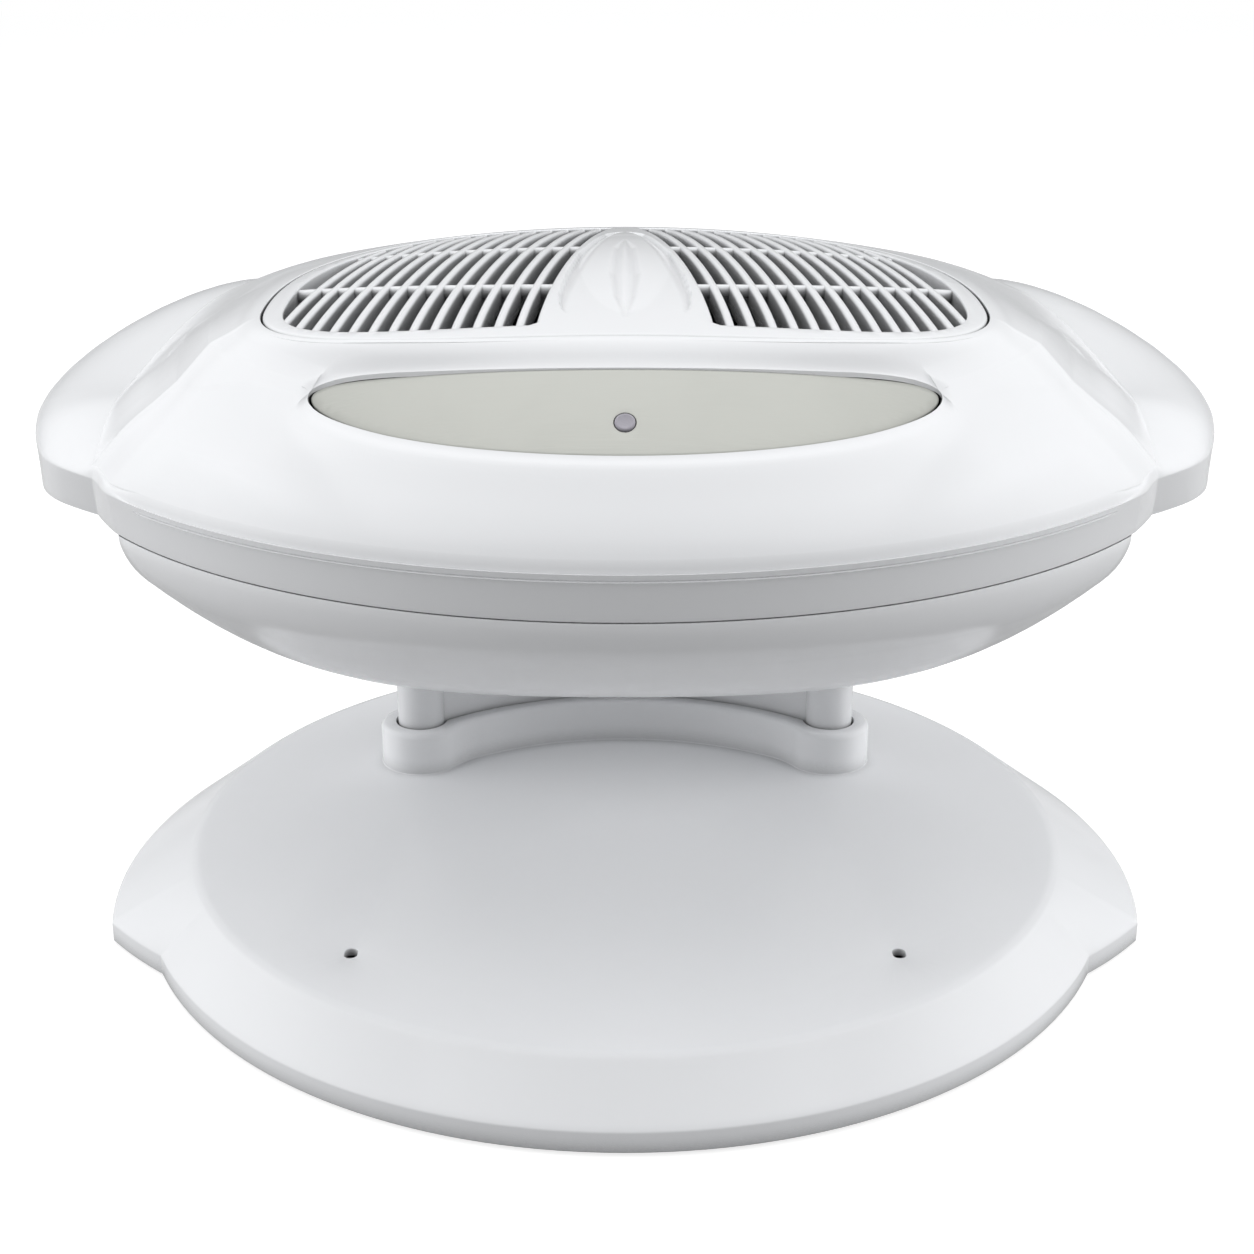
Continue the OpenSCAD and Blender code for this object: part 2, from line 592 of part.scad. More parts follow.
// Shares of the way from the top to the edge where the dome's rings lie, outside and inside
upper_tt = [0.06, 0.2, 0.36, 0.5, 0.6, 0.68, 0.75, 0.82, 0.89, 0.95, 1];
brim_ww = [1, 0.97, 0.9, 0.75, 0.55, 0.3];
inner_tt = [0.06, 0.36, 0.6, 0.75, 0.89, 1];
module upper_shell() {
    color(white) difference() {
        union() {
            skin(concat(
                [for (t = inner_tt) [for (a = head_angles) inward(a, dome(a, t), 2.2 * t, 2.4)]],
                [for (w = [0.55, 0.9]) [for (a = head_angles) inward(a, brim(a, w), shell_t, 2.4)]],
                [[for (a = head_angles) head_ring(a, head_out(fold(a)) - shell_t, fold_z - 1)],
                 low_ring(shell_t, seam_z + 0.05), low_ring(0, seam_z + 0.05)],
                [for (w = brim_ww) [for (a = head_angles) brim(a, w)]],
                [for (i = [len(upper_tt) - 1:-1:0]) [for (a = head_angles) dome(a, upper_tt[i])]]));
            // Bosses of the shell screws, up into the dome's wall
            for (k = [0, 1]) at_sides(well_at[k].x, well_at[k].y) translate([0, 0, seam_z + 2])
                cylinder(h = well_top[k] - seam_z - 2, r = 4.2);
            // Ledge below the grille
            intersection() {
                translate([0, 0, 150]) linear_extrude(90) grille_plan(0);
                cap_layer(grille_t + 0.1, grille_t + 2.4);
            }
        }
        // Opening of the grille, and its seat
        translate([0, 0, 190]) linear_extrude(50) grille_plan(3);
        intersection() {
            translate([0, 0, 150]) linear_extrude(90) grille_plan(0);
            cap_layer(-20, grille_t + 0.1);
        }
        panel_cut();
        well_places() translate([0, 0, seam_z]) cylinder(h = 16, r = pilot_r);
    }
}

module shell_screws() {
    color(steel) well_places() translate([0, 0, well_seat]) screw(26);
}

// ---------- grille ----------

// Thickness of the grille's sheet
grille_t = 1.7;
// Centre line of a slot, which leans in towards the middle on its way back
function slot_x(i, y) = slot_from + slot_pitch * i - slot_lean * (1 + 0.02 * i) * pow(max(0, y + 118) / 86, 1.35);
// The crossbars curve back towards the sides
function bar_y(k, x) = crossbar_y[k] + 0.0034 * x * x;
bar_half = 1.7;
// One slot between two depths, as a strip that follows its centre line
module slot(i, y0, y1) {
    steps = 5;
    ys = [for (k = [0:steps]) mix(y0, y1, k / steps)];
    polygon(concat([for (y = ys) [slot_x(i, y) + slot_w / 2, y]],
        [for (k = [steps:-1:0]) [slot_x(i, ys[k]) - slot_w / 2, ys[k]]]));
}

module grille_insert() {
    color(white) union() {
        difference() {
            intersection() {
                translate([0, 0, 150]) linear_extrude(90) grille_plan(grille_gap);
                cap_layer(0, grille_t);
            }
            // Louvre slots in three rows between the crossbars
            translate([0, 0, 180]) linear_extrude(60) intersection() {
                grille_plan(grille_gap + slot_border);
                for (m = [0, 1]) mirror([m, 0]) for (i = [0:slot_count - 1]) {
                    front = bar_y(0, slot_x(i, crossbar_y[0]));
                    back = bar_y(1, slot_x(i, crossbar_y[1]));
                    slot(i, -118, front - bar_half);
                    slot(i, front + bar_half, back - bar_half);
                    slot(i, back + bar_half, 20);
                }
            }
        }
        ridge();
    }
}

// Smooth ridge between the two fields of slots: a slim lens that rises from the dome
ridge_y = -53;
ridge_long = 53;
ridge_wide = 12.4;
ridge_steps = 24;
module ridge() {
    skin([for (k = [0:ridge_steps])
        let (u = mix(-0.99, 0.99, k / ridge_steps), y = ridge_y + ridge_long * u, round = 1 - u * u,
            w = ridge_wide * sqrt(round))
        concat([for (j = [-5:5]) let (x = w * j / 5)
                [x, y, cap_z(norm([x, y - dome_y])) + ridge_rise * round * (1 - j * j / 25) - 0.05]],
            [for (x = [w, -w]) [x, y, cap_z(norm([x, y - dome_y])) - 1]])]);
}

// ---------- control panel ----------

// Depths below the dome of the panel's face, of its back and of the flange behind the opening's edge
panel_face = -0.8;
panel_back = -5.4;
panel_flange = -4.1;
function panel_normal(a) = let (out = cos(90 - panel_slope), up = sin(90 - panel_slope))
    [out * sin(a), -out * cos(a), up];
// Ring of points round the panel's lens shape, at a height n over the dome, grown by g on the panel's scale
function lens_point(q, v, g, n) = let (a = q * (panel_a + g * 60),
        t = panel_t + panel_sag * q * q + v * (panel_half + g) * sqrt(max(0, 1 - q * q)))
    dome(a, t) + n * panel_normal(a);
lens_q = [for (k = [-12:12]) sin(k * 7.5 * 0.985)];
// Solid that follows the dome between the heights n0 and n1: a grid on each side and a wall round it
module lens_solid(g, n0, n1) {
    nq = len(lens_q);
    vv = [-1, -0.5, 0, 0.5, 1];
    nv = len(vv);
    function grid(n) = [for (q = lens_q, v = vv) lens_point(q, v, g, n)];
    count = nq * nv;
    // Grid faces; the far side is turned over
    function cells(o, turn) = [for (i = [0:nq - 2], j = [0:nv - 2]) let (p = o + i * nv + j, q = p + nv)
        each (turn ? [[p, p + 1, q + 1], [p, q + 1, q]] : [[p, q + 1, p + 1], [p, q, q + 1]])];
    // Rim points in order round the lens
    loop = concat([for (i = [0:nq - 1]) i * nv], [for (j = [1:nv - 1]) (nq - 1) * nv + j],
        [for (i = [nq - 2:-1:0]) i * nv + nv - 1], [for (j = [nv - 2:-1:1]) j]);
    walls = [for (k = [0:len(loop) - 1]) let (p = loop[k], q = loop[(k + 1) % len(loop)])
        each [[p, q, q + count], [p, q + count, p + count]]];
    polyhedron(points = concat(grid(n0), grid(n1)), faces = concat(cells(0, false), cells(count, true), walls));
}

module panel_cut() { lens_solid(0.004, -7, 6); }

// Place of the button on the same scale as the panel's middle line
button_t = 0.79;
button_point = dome(0, button_t);
module at_button() {
    translate(button_point) rotate([panel_slope, 0, 0]) children();
}
// Depth of the switch board behind the panel, and side distance of the two pillars that hold it
board_drop = 14;
pillar_x = 15;
module control_panel() {
    color(silver) difference() {
        union() {
            lens_solid(0, panel_back, panel_face);
            lens_solid(0.022, panel_back, panel_flange);
            for (s = [-1, 1]) at_button() translate([s * pillar_x, 0, -board_drop])
                cylinder(h = board_drop - 2.5, r = 2.4);
        }
        at_button() translate([0, 0, -20]) cylinder(h = 30, r = button_r + 0.15);
        for (s = [-1, 1]) at_button() translate([s * pillar_x, 0, -board_drop - 1])
            cylinder(h = 7, r = 0.9);
    }
}

// Round cap with a collar behind the panel that keeps it in
module power_button() {
    color([0.66, 0.65, 0.69]) at_button() {
        translate([0, 0, -8]) cylinder(h = 7.5, r = button_r);
        translate([0, 0, -7.6]) cylinder(h = 1.2, r = button_r + 1.2);
    }
}

switch_h = 3.4;
// Push switch with the plunger that the button meets
module tact_switch() {
    color(black) at_button() {
        translate([-3, -3, -board_drop + 0.05]) cube([6, 6, switch_h]);
        translate([0, 0, switch_h - board_drop])
            cylinder(h = board_drop - switch_h - 8 - button_travel - 0.1, r = 1.6);
    }
}

module switch_board() {
    color(green) at_button() difference() {
        translate([-22, -7, -board_drop - 1.65]) cube([44, 14, 1.6]);
        for (s = [-1, 1]) translate([s * pillar_x, 0, -board_drop - 5]) cylinder(h = 10, r = 1.1);
    }
}

// ---------- air path ----------

// Round outlet grille whose underside follows the bowl
module outlet_grille(s) {
    color(white) intersection() {
        translate([s * fan_at.x, -fan_at.y, 0]) difference() {
            union() {
                translate([0, 0, 90]) cylinder(h = outlet_seat + 2 - 90, r = outlet_r);
                translate([0, 0, outlet_seat + 0.1]) cylinder(h = 2, r = outlet_r + 4.5);
            }
            translate([0, 0, outlet_seat - 1.6]) cylinder(h = 20, r = outlet_r - 2);
            // Rings of air slots between six spokes
            translate([0, 0, 90]) linear_extrude(30) difference() {
                for (r = [6:5:26]) difference() {
                    circle(r = r + 3.2);
                    circle(r = r);
                }
                for (q = [0:60:120]) rotate(q) square([80, 2.4], center = true);
            }
        }
        bowl_fill(0.3);
    }
}
module outlet_grille_left() { outlet_grille(-1); }
module outlet_grille_right() { outlet_grille(1); }

// Lower end and wall of the tube between a fan and its outlet
duct_low = outlet_seat + 2.2;
duct_wall = 2;
module air_duct(s) {
    color(off_white) translate([s * fan_at.x, -fan_at.y, 0]) difference() {
        union() {
            translate([0, 0, duct_low]) cylinder(h = fan_z - 0.1 - duct_low, r = duct_r);
            // Square plate that carries the fan
            translate([-fan_size.x / 2, -fan_size.x / 2, fan_z - 3]) cube([fan_size.x, fan_size.x, 2.9]);
        }
        translate([0, 0, duct_low - 1]) cylinder(h = 80, r = duct_r - duct_wall);
        for (x = [-1, 1], y = [-1, 1]) translate([x * fan_hole, y * fan_hole, fan_z - 10])
            cylinder(h = 20, r = pilot_r);
    }
}
module air_duct_left() { air_duct(-1); }
module air_duct_right() { air_duct(1); }

// Heater: lower edge and height of the plates, then the coil
heater_low = 122;
heater_h = 26;
coil_r = 30;
wire_r = 0.9;
turns = 5;
coil_lift = 3;
coil_step = 15;
// Two crossed mica plates, with a hole wherever the coil passes through
module heater_frame(s) {
    half = duct_r - duct_wall - 0.1;
    color([0.75, 0.7, 0.6]) translate([s * fan_at.x, -fan_at.y, heater_low]) difference() {
        union() {
            translate([-half, -0.5, 0]) cube([2 * half, 1, heater_h]);
            translate([-0.5, -half, 0]) cube([1, 2 * half, heater_h]);
        }
        for (k = [1:4 * turns]) rotate([0, 0, 90 * k])
            translate([coil_r, 0, coil_lift + (90 * k - 45) / (360 * turns) * (heater_h - 2 * coil_lift)])
            rotate([90, 0, 0]) cylinder(h = 4, r = wire_r + 0.3, center = true);
    }
}
module heater_frame_left() { heater_frame(-1); }
module heater_frame_right() { heater_frame(1); }

module heater_coil(s) {
    color([0.45, 0.4, 0.38]) translate([s * fan_at.x, -fan_at.y, heater_low + coil_lift])
        lead([for (g = [0:coil_step:360 * turns]) [coil_r * cos(g + 45), coil_r * sin(g + 45),
            g / (360 * turns) * (heater_h - 2 * coil_lift)]], wire_r, 6);
}
module heater_coil_left() { heater_coil(-1); }
module heater_coil_right() { heater_coil(1); }

module thermal_cutouts() {
    color(steel) fan_places() translate([0, 14, heater_low + heater_h + 0.05]) {
        cylinder(h = 6, r = 5);
        translate([-4, -1.5, 6 - eps]) cube([8, 3, 1.2]);
    }
}

// ---------- fans ----------

// Fan frame: distance of its holes from its axis, its motor's seat and its bore
fan_hole = 35.75;
motor_r = 14;
motor_h = 4;
fan_bore_r = 37.6;
module fan_frame(s) {
    color(black) translate([s * fan_at.x, -fan_at.y, fan_z]) {
        difference() {
            translate([-fan_size.x / 2, -fan_size.x / 2, 0]) cube([fan_size.x, fan_size.x, fan_size.y]);
            translate([0, 0, -1]) cylinder(h = fan_size.y + 2, r = fan_bore_r, $fn = 96);
            for (x = [-1, 1], y = [-1, 1]) translate([x * fan_hole, y * fan_hole, -1])
                cylinder(h = fan_size.y + 2, r = screw_r + 0.4);
        }
        // Three struts that hold the motor
        difference() {
            for (q = [30, 150, 270]) rotate([0, 0, q]) translate([0, -2, 0]) cube([fan_bore_r + 0.6, 4, 3]);
            translate([0, 0, -1]) cylinder(h = 6, r = motor_r - 1);
        }
    }
}
module fan_frame_left() { fan_frame(-1); }
module fan_frame_right() { fan_frame(1); }

// Shaft and bearing, measured from the underside of the fan
shaft_low = 2.6;
shaft_len = 19.5;
bearing_h = 15;
module fan_motor(s) {
    color(steel) translate([s * fan_at.x, -fan_at.y, fan_z]) difference() {
        union() {
            cylinder(h = motor_h, r = motor_r - 1 - 0.05);
            translate([0, 0, motor_h - eps]) cylinder(h = bearing_h - motor_h, r = 4);
            // Stator poles with their windings
            for (q = [0:90:270]) rotate([0, 0, q]) translate([3, -2.5, motor_h + 2]) cube([8, 5, 7]);
        }
        translate([0, 0, 2]) cylinder(h = 30, r = shaft_r + shaft_fit);
    }
}
module fan_motor_left() { fan_motor(-1); }
module fan_motor_right() { fan_motor(1); }

// Rotor, measured the same way
hub_low = 6;
hub_top = 22;
blade_pitch = 38;
module fan_rotor(s) {
    color([0.2, 0.2, 0.22]) translate([s * fan_at.x, -fan_at.y, fan_z]) {
        difference() {
            translate([0, 0, hub_low]) cylinder(h = hub_top - hub_low, r = hub_r);
            translate([0, 0, hub_low - 1]) cylinder(h = hub_top - hub_low - 2, r = hub_r - 2);
            translate([0, 0, hub_low]) cylinder(h = 30, r = shaft_r);
        }
        // Pitched blades, trimmed to a round tip and rooted in the hub's wall
        intersection() {
            for (k = [0:blade_count - 1]) rotate([0, 0, s * k * 360 / blade_count])
                translate([hub_r - 1, 0, (hub_low + hub_top) / 2]) rotate([s * blade_pitch, 0, 0])
                    translate([0, -10, -0.8]) cube([30, 20, 1.6]);
            translate([0, 0, hub_low]) difference() {
                cylinder(h = hub_top - hub_low, r = rotor_r, $fn = 96);
                translate([0, 0, -1]) cylinder(h = 40, r = hub_r - 1);
            }
        }
    }
}
module fan_rotor_left() { fan_rotor(-1); }
module fan_rotor_right() { fan_rotor(1); }

module fan_shaft(s) {
    color(steel) translate([s * fan_at.x, -fan_at.y, fan_z + shaft_low])
        cylinder(h = shaft_len - eps, r = shaft_r);
}
module fan_shaft_left() { fan_shaft(-1); }
module fan_shaft_right() { fan_shaft(1); }

module fan_screws() {
    color(steel) fan_places() for (x = [-1, 1], y = [-1, 1])
        translate([x * fan_hole, y * fan_hole, fan_z + fan_size.y]) mirror([0, 0, 1]) screw(30);
}

// ---------- electrics ----------

board_z = 126;
board_size = [100, 48];
board_y = 92;
board_inset = board_size / 2 - [5, 5];
board_holes = [for (x = [-1, 1], y = [-1, 1]) [x * board_inset.x, board_y + y * board_inset.y]];
module main_board() {
    color(green) difference() {
        translate([-board_size.x / 2, board_y - board_size.y / 2, board_z + 0.1])
            cube([board_size.x, board_size.y, 1.6]);
        for (p = board_holes) translate([p.x, p.y, board_z - 5]) cylinder(h = 10, r = 1.2);
    }
}

on_board = board_z + 1.8;
module transformer() {
    translate([-38, board_y - 15, on_board]) {
        color(steel) difference() {
            cube([32, 28, 26]);
            translate([5, -1, 5]) cube([22, 30, 16]);
        }
        color([0.7, 0.5, 0.2]) translate([5.2, 3, 5.2]) cube([21.6, 22, 15.6]);
    }
}

module capacitors() {
    color(black) for (k = [0:2]) translate([6 + k * 12, board_y + 12, on_board])
        cylinder(h = 18 - 3 * k, r = 5);
}

module relay() {
    color([0.15, 0.25, 0.5]) translate([4, board_y - 18, on_board]) cube([19, 15.5, 16]);
    color(black) translate([28, board_y - 18, on_board]) cube([15, 11, 10]);
}

// ---------- switch and inlet ----------

// Depth of the housing, place of the pin and half size of the rocker's cap
rocker_depth = 16;
rocker_pin_y = back_y - 3;
rocker_half = [8.4, 4.9];
module rocker_housing() {
    color(black) difference() {
        union() {
            translate([-back_x - 13, back_y + 0.05, back_mid - 8.5]) cube([26, flange_t - 0.05, 17]);
            translate([-back_x - rocker_hole.x / 2 + 0.2, back_y - rocker_depth, back_mid - rocker_hole.y / 2 + 0.2])
                cube([rocker_hole.x - 0.4, rocker_depth + 1, rocker_hole.y - 0.4]);
        }
        translate([-back_x - rocker_half.x - 0.6, back_y - rocker_depth + 3, back_mid - rocker_half.y - 0.25])
            cube([2 * rocker_half.x + 1.2, rocker_depth + 5, 2 * rocker_half.y + 0.5]);
        translate([-back_x, rocker_pin_y, back_mid - 6]) cylinder(h = 12, r = 1.3 + shaft_fit);
    }
}

// Three-position rocker: level is off, and each tip is one heat setting
module mode_rocker() {
    color(black) translate([-back_x, rocker_pin_y, back_mid]) {
        difference() {
            intersection() {
                translate([-rocker_half.x, -4, -rocker_half.y]) cube([2 * rocker_half.x, 10, 2 * rocker_half.y]);
                translate([0, -4, -rocker_half.y]) cylinder(h = 2 * rocker_half.y, r = 9.4, $fn = 96);
            }
            translate([0, 42.2, -10]) cylinder(h = 20, r = 38, $fn = 128);
        }
        translate([0, 0, -5.8]) cylinder(h = 11.6, r = 1.3);
    }
}

module power_inlet() {
    color(black) difference() {
        union() {
            translate([back_x - 15.5, back_y + 0.05, back_mid - 9.5]) cube([31, flange_t - 0.05, 19]);
            translate([back_x - inlet_hole.x / 2 + 0.2, back_y - 18, back_mid - inlet_hole.y / 2 + 0.2])
                cube([inlet_hole.x - 0.4, 19, inlet_hole.y - 0.4]);
        }
        // Figure-of-eight mouth for a small appliance connector
        for (s = [-1, 1]) translate([back_x + s * 4.2, back_y + 5, back_mid]) rotate([90, 0, 0])
            cylinder(h = 18, r = 4.3);
        translate([back_x - 4.2, back_y - 13, back_mid - 4.3]) cube([8.4, 18, 8.6]);
    }
    color(steel) for (s = [-1, 1]) translate([back_x + s * 4.3, back_y - 1.5, back_mid]) rotate([90, 0, 0])
        cylinder(h = 12, r = 1.2);
}

// ---------- one node at a time ----------

base_tray();
base_plate();
rubber_feet();
base_screws();
hand_sensor_left();
hand_sensor_right();
sensor_lead_left();
sensor_lead_right();
column();
column_screws();
lower_shell();
upper_shell();
shell_screws();
grille_insert();
control_panel();
power_button();
switch_board();
tact_switch();
air_duct_left();
air_duct_right();
outlet_grille_left();
outlet_grille_right();
heater_frame_left();
heater_frame_right();
heater_coil_left();
heater_coil_right();
thermal_cutouts();
fan_frame_left();
fan_frame_right();
fan_motor_left();
fan_motor_right();
fan_rotor_left();
fan_rotor_right();
fan_shaft_left();
fan_shaft_right();
fan_screws();
main_board();
transformer();
capacitors();
relay();
rocker_housing();
mode_rocker();
power_inlet();
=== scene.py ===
# %% [markdown]
# # A fan dryer for painted nails
# A round tray, a short curved column and a domed head with a louvred grille and a slim metal panel.
# The CAD model gives every size and place. This script loads it as a fixed frame and dresses it: it keeps the
# inner parts as they are and gives them finishes, and it remakes the outer shells with finer curves. The shells
# are made again from the same rules as the CAD ones, because flat facets would show in a glossy surface.

# %% Load the frame
import json
import math

import bmesh
import bpy
import numpy as np
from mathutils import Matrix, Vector, geometry


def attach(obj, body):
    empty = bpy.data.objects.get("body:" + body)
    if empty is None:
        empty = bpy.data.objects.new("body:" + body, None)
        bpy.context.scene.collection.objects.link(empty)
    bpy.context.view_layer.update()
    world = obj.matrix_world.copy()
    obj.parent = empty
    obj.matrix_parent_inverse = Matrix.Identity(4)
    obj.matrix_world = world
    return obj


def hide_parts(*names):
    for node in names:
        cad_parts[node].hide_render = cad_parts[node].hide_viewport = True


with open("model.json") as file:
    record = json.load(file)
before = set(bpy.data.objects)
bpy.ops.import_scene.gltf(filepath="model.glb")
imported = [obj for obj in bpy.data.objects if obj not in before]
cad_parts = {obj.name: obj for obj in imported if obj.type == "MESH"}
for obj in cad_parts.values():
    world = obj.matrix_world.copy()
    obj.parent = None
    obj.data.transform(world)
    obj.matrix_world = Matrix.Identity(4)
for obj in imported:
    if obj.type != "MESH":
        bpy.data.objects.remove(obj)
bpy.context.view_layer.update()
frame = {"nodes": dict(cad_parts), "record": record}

# %% [markdown]
# ## Finishes
# Nearly everything outside is one white moulded plastic. Real moulded plastic is never perfectly even: it has a
# faint orange peel, hands polish or dull it in patches, and dust settles on what faces up. Each of these is used
# by many finishes, so each is a shader node group, and every material sets its own amounts.

# %% Small helpers for node trees
def linear(rgb):
    """A colour as seen on a screen, 0 to 255, in the linear values that nodes work with."""
    c = np.asarray(rgb, float) / 255
    return tuple(np.where(c < 0.04045, c / 12.92, ((c + 0.055) / 1.055) ** 2.4)) + (1.0,)


def new_group(name, inputs, outputs, kind="ShaderNodeTree"):
    tree = bpy.data.node_groups.new(name, kind)
    for label, sort, value in inputs:
        sock = tree.interface.new_socket(label, in_out="INPUT", socket_type=sort)
        if value is not None:
            sock.default_value = value
    for label, sort in outputs:
        tree.interface.new_socket(label, in_out="OUTPUT", socket_type=sort)
    return tree, tree.nodes.new("NodeGroupInput"), tree.nodes.new("NodeGroupOutput")


def fill(tree, n, **values):
    """Links or sets inputs of a node by name, or by number as i0, i1 and so on."""
    for key, value in values.items():
        sock = n.inputs[int(key[1:])] if key[0] == "i" and key[1:].isdigit() else n.inputs[key.replace("_", " ")]
        if isinstance(value, bpy.types.NodeSocket):
            tree.links.new(value, sock)
        else:
            sock.default_value = value
    return n


def node(tree, kind, settings=(), **values):
    """Adds a node, sets its properties and fills its inputs."""
    n = tree.nodes.new(kind)
    for key, value in dict(settings).items():
        setattr(n, key, value)
    return fill(tree, n, **values)


def maths(tree, operation, a, b=0.0, clamp=False):
    return node(tree, "ShaderNodeMath", dict(operation=operation, use_clamp=clamp), i0=a, i1=b).outputs[0]


def blend(tree, share, a, b):
    """The colour between a and b."""
    return node(tree, "ShaderNodeMix", dict(data_type="RGBA"), i0=share, i6=a, i7=b).outputs[2]


# %% Group: moulded grain
F, V = "NodeSocketFloat", "NodeSocketVector"
grain, gi, go = new_group("moulded_grain", [("Size", F, 900.0), ("Streak", V, (1, 1, 1)), ("Depth", F, 1.0)],
                          [("Height", F), ("Shade", F), ("Rough", F)])
coords = node(grain, "ShaderNodeTexCoord").outputs["Object"]
stretched = node(grain, "ShaderNodeVectorMath", dict(operation="MULTIPLY"), i0=coords, i1=gi.outputs["Streak"])
fine = node(grain, "ShaderNodeTexNoise", Vector=stretched.outputs[0], Scale=gi.outputs["Size"], Detail=3.0)
broad = node(grain, "ShaderNodeTexNoise", Vector=coords, Scale=14.0, Detail=4.0, Roughness=0.6)
half_of = lambda noise: maths(grain, "MULTIPLY", noise.outputs["Fac"], 0.5)
fill(grain, go, Height=maths(grain, "MULTIPLY", fine.outputs["Fac"], gi.outputs["Depth"]),
     Shade=broad.outputs["Fac"], Rough=maths(grain, "ADD", half_of(fine), half_of(broad)))
print("group:", grain.name, "with", len(grain.nodes), "nodes")

# %% Group: handling marks
mark_from, mark_edge = 0.52, 6.0
marks, mi, mo = new_group("handling_marks", [("Scale", F, 30.0), ("Amount", F, 0.3)], [("Mask", F)])
coords = node(marks, "ShaderNodeTexCoord").outputs["Object"]
smears = node(marks, "ShaderNodeTexNoise", Vector=coords, Scale=mi.outputs["Scale"], Detail=6.0, Distortion=1.2)
patch = maths(marks, "SUBTRACT", smears.outputs["Fac"], mark_from)
patch = maths(marks, "MULTIPLY", patch, mark_edge, clamp=True)
fill(marks, mo, Mask=maths(marks, "MULTIPLY", patch, mi.outputs["Amount"]))
print("group:", marks.name, "with", len(marks.nodes), "nodes")

# %% Group: settled dust
dust_focus = 3.0
dust, di, do = new_group("settled_dust", [("Amount", F, 0.1), ("Scale", F, 160.0)], [("Mask", F)])
up = node(dust, "ShaderNodeSeparateXYZ", i0=node(dust, "ShaderNodeNewGeometry").outputs["Normal"]).outputs["Z"]
facing_up = maths(dust, "POWER", maths(dust, "MAXIMUM", up, 0.0), dust_focus)
coords = node(dust, "ShaderNodeTexCoord").outputs["Object"]
specks = node(dust, "ShaderNodeTexNoise", Vector=coords, Scale=di.outputs["Scale"], Detail=5.0)
settled = maths(dust, "MULTIPLY", facing_up, specks.outputs["Fac"])
fill(dust, do, Mask=maths(dust, "MULTIPLY", settled, di.outputs["Amount"]))
print("group:", dust.name, "with", len(dust.nodes), "nodes")

# %% Group: shade of deep corners
# Painted shade: ambient occlusion finds where surfaces close in, and the mask darkens the colour there
open_share, corner_gain = 0.3, 2.2
corner_shade, ni, no = new_group("painted_corner_shade", [("Reach", F, 0.012), ("Amount", F, 0.6)], [("Mask", F)])
around = node(corner_shade, "ShaderNodeAmbientOcclusion", dict(samples=4), Distance=ni.outputs["Reach"])
closed = maths(corner_shade, "SUBTRACT", maths(corner_shade, "SUBTRACT", 1.0, around.outputs["AO"]), open_share)
closed = maths(corner_shade, "MULTIPLY", closed, corner_gain, clamp=True)
fill(corner_shade, no, Mask=maths(corner_shade, "MULTIPLY", closed, ni.outputs["Amount"]))
print("group:", corner_shade.name, "with", len(corner_shade.nodes), "nodes")

# %% [markdown]
# One function builds a finish from the four groups; the fourth paints shade into deep corners. The shader itself
# stays in the material, and values that are the same all over, such as the clear top layer, are set on its own
# sockets.

# %% Build a finish
dust_colour, painted_shade_dark, marked_rough, dusty_rough = linear((188, 186, 182)), 0.06, 0.22, 0.8
grain_height, coat_rough = 0.0004, 0.06


def finish(name, rgb, rough, metal=0.0, size=900.0, streak=(1, 1, 1), bump=0.02, shade=0.03, marks_at=(30.0, 0.25),
           dust_at=0.04, coat=0.0, deep=0.0, corner_reach=0.012):
    """Plastic or metal; deep is how much shade is painted into its corners, where they are narrower than corner_reach
    in m.
    """
    mat = bpy.data.materials.new(name)
    mat.use_nodes = True
    tree = mat.node_tree
    shader = tree.nodes["Principled BSDF"]
    g = node(tree, "ShaderNodeGroup", dict(node_tree=grain), Size=size, Streak=streak)
    m = node(tree, "ShaderNodeGroup", dict(node_tree=marks), Scale=marks_at[0], Amount=marks_at[1])
    d = node(tree, "ShaderNodeGroup", dict(node_tree=dust), Amount=dust_at)
    base = np.array(linear(rgb))
    times = lambda k: tuple(base[:3] * k) + (1.0,)
    colour = blend(tree, g.outputs["Shade"], times(1 - 2 * shade), tuple(base))
    colour = blend(tree, d.outputs["Mask"], colour, dust_colour)
    # Painted shade: closed-in corners are darkened towards nearly black
    if deep:
        n = node(tree, "ShaderNodeGroup", dict(node_tree=corner_shade), Amount=deep, Reach=corner_reach)
        colour = blend(tree, n.outputs["Mask"], colour, times(painted_shade_dark))
    uneven = maths(tree, "MULTIPLY", maths(tree, "SUBTRACT", g.outputs["Rough"], 0.5), 0.3 * rough + 0.03)
    marked, dusty = (maths(tree, "MULTIPLY", mask.outputs["Mask"], more)
                     for mask, more in ((m, marked_rough), (d, dusty_rough)))
    worn = maths(tree, "ADD", maths(tree, "ADD", rough, uneven), marked)
    bumps = node(tree, "ShaderNodeBump", Strength=bump, Distance=grain_height, Height=g.outputs["Height"])
    fill(tree, shader, Base_Color=colour, Roughness=maths(tree, "ADD", worn, dusty, clamp=True), Metallic=metal,
         Normal=bumps.outputs[0], Coat_Weight=coat, Coat_Roughness=coat_rough)
    mat.diffuse_color = tuple(base)
    return mat
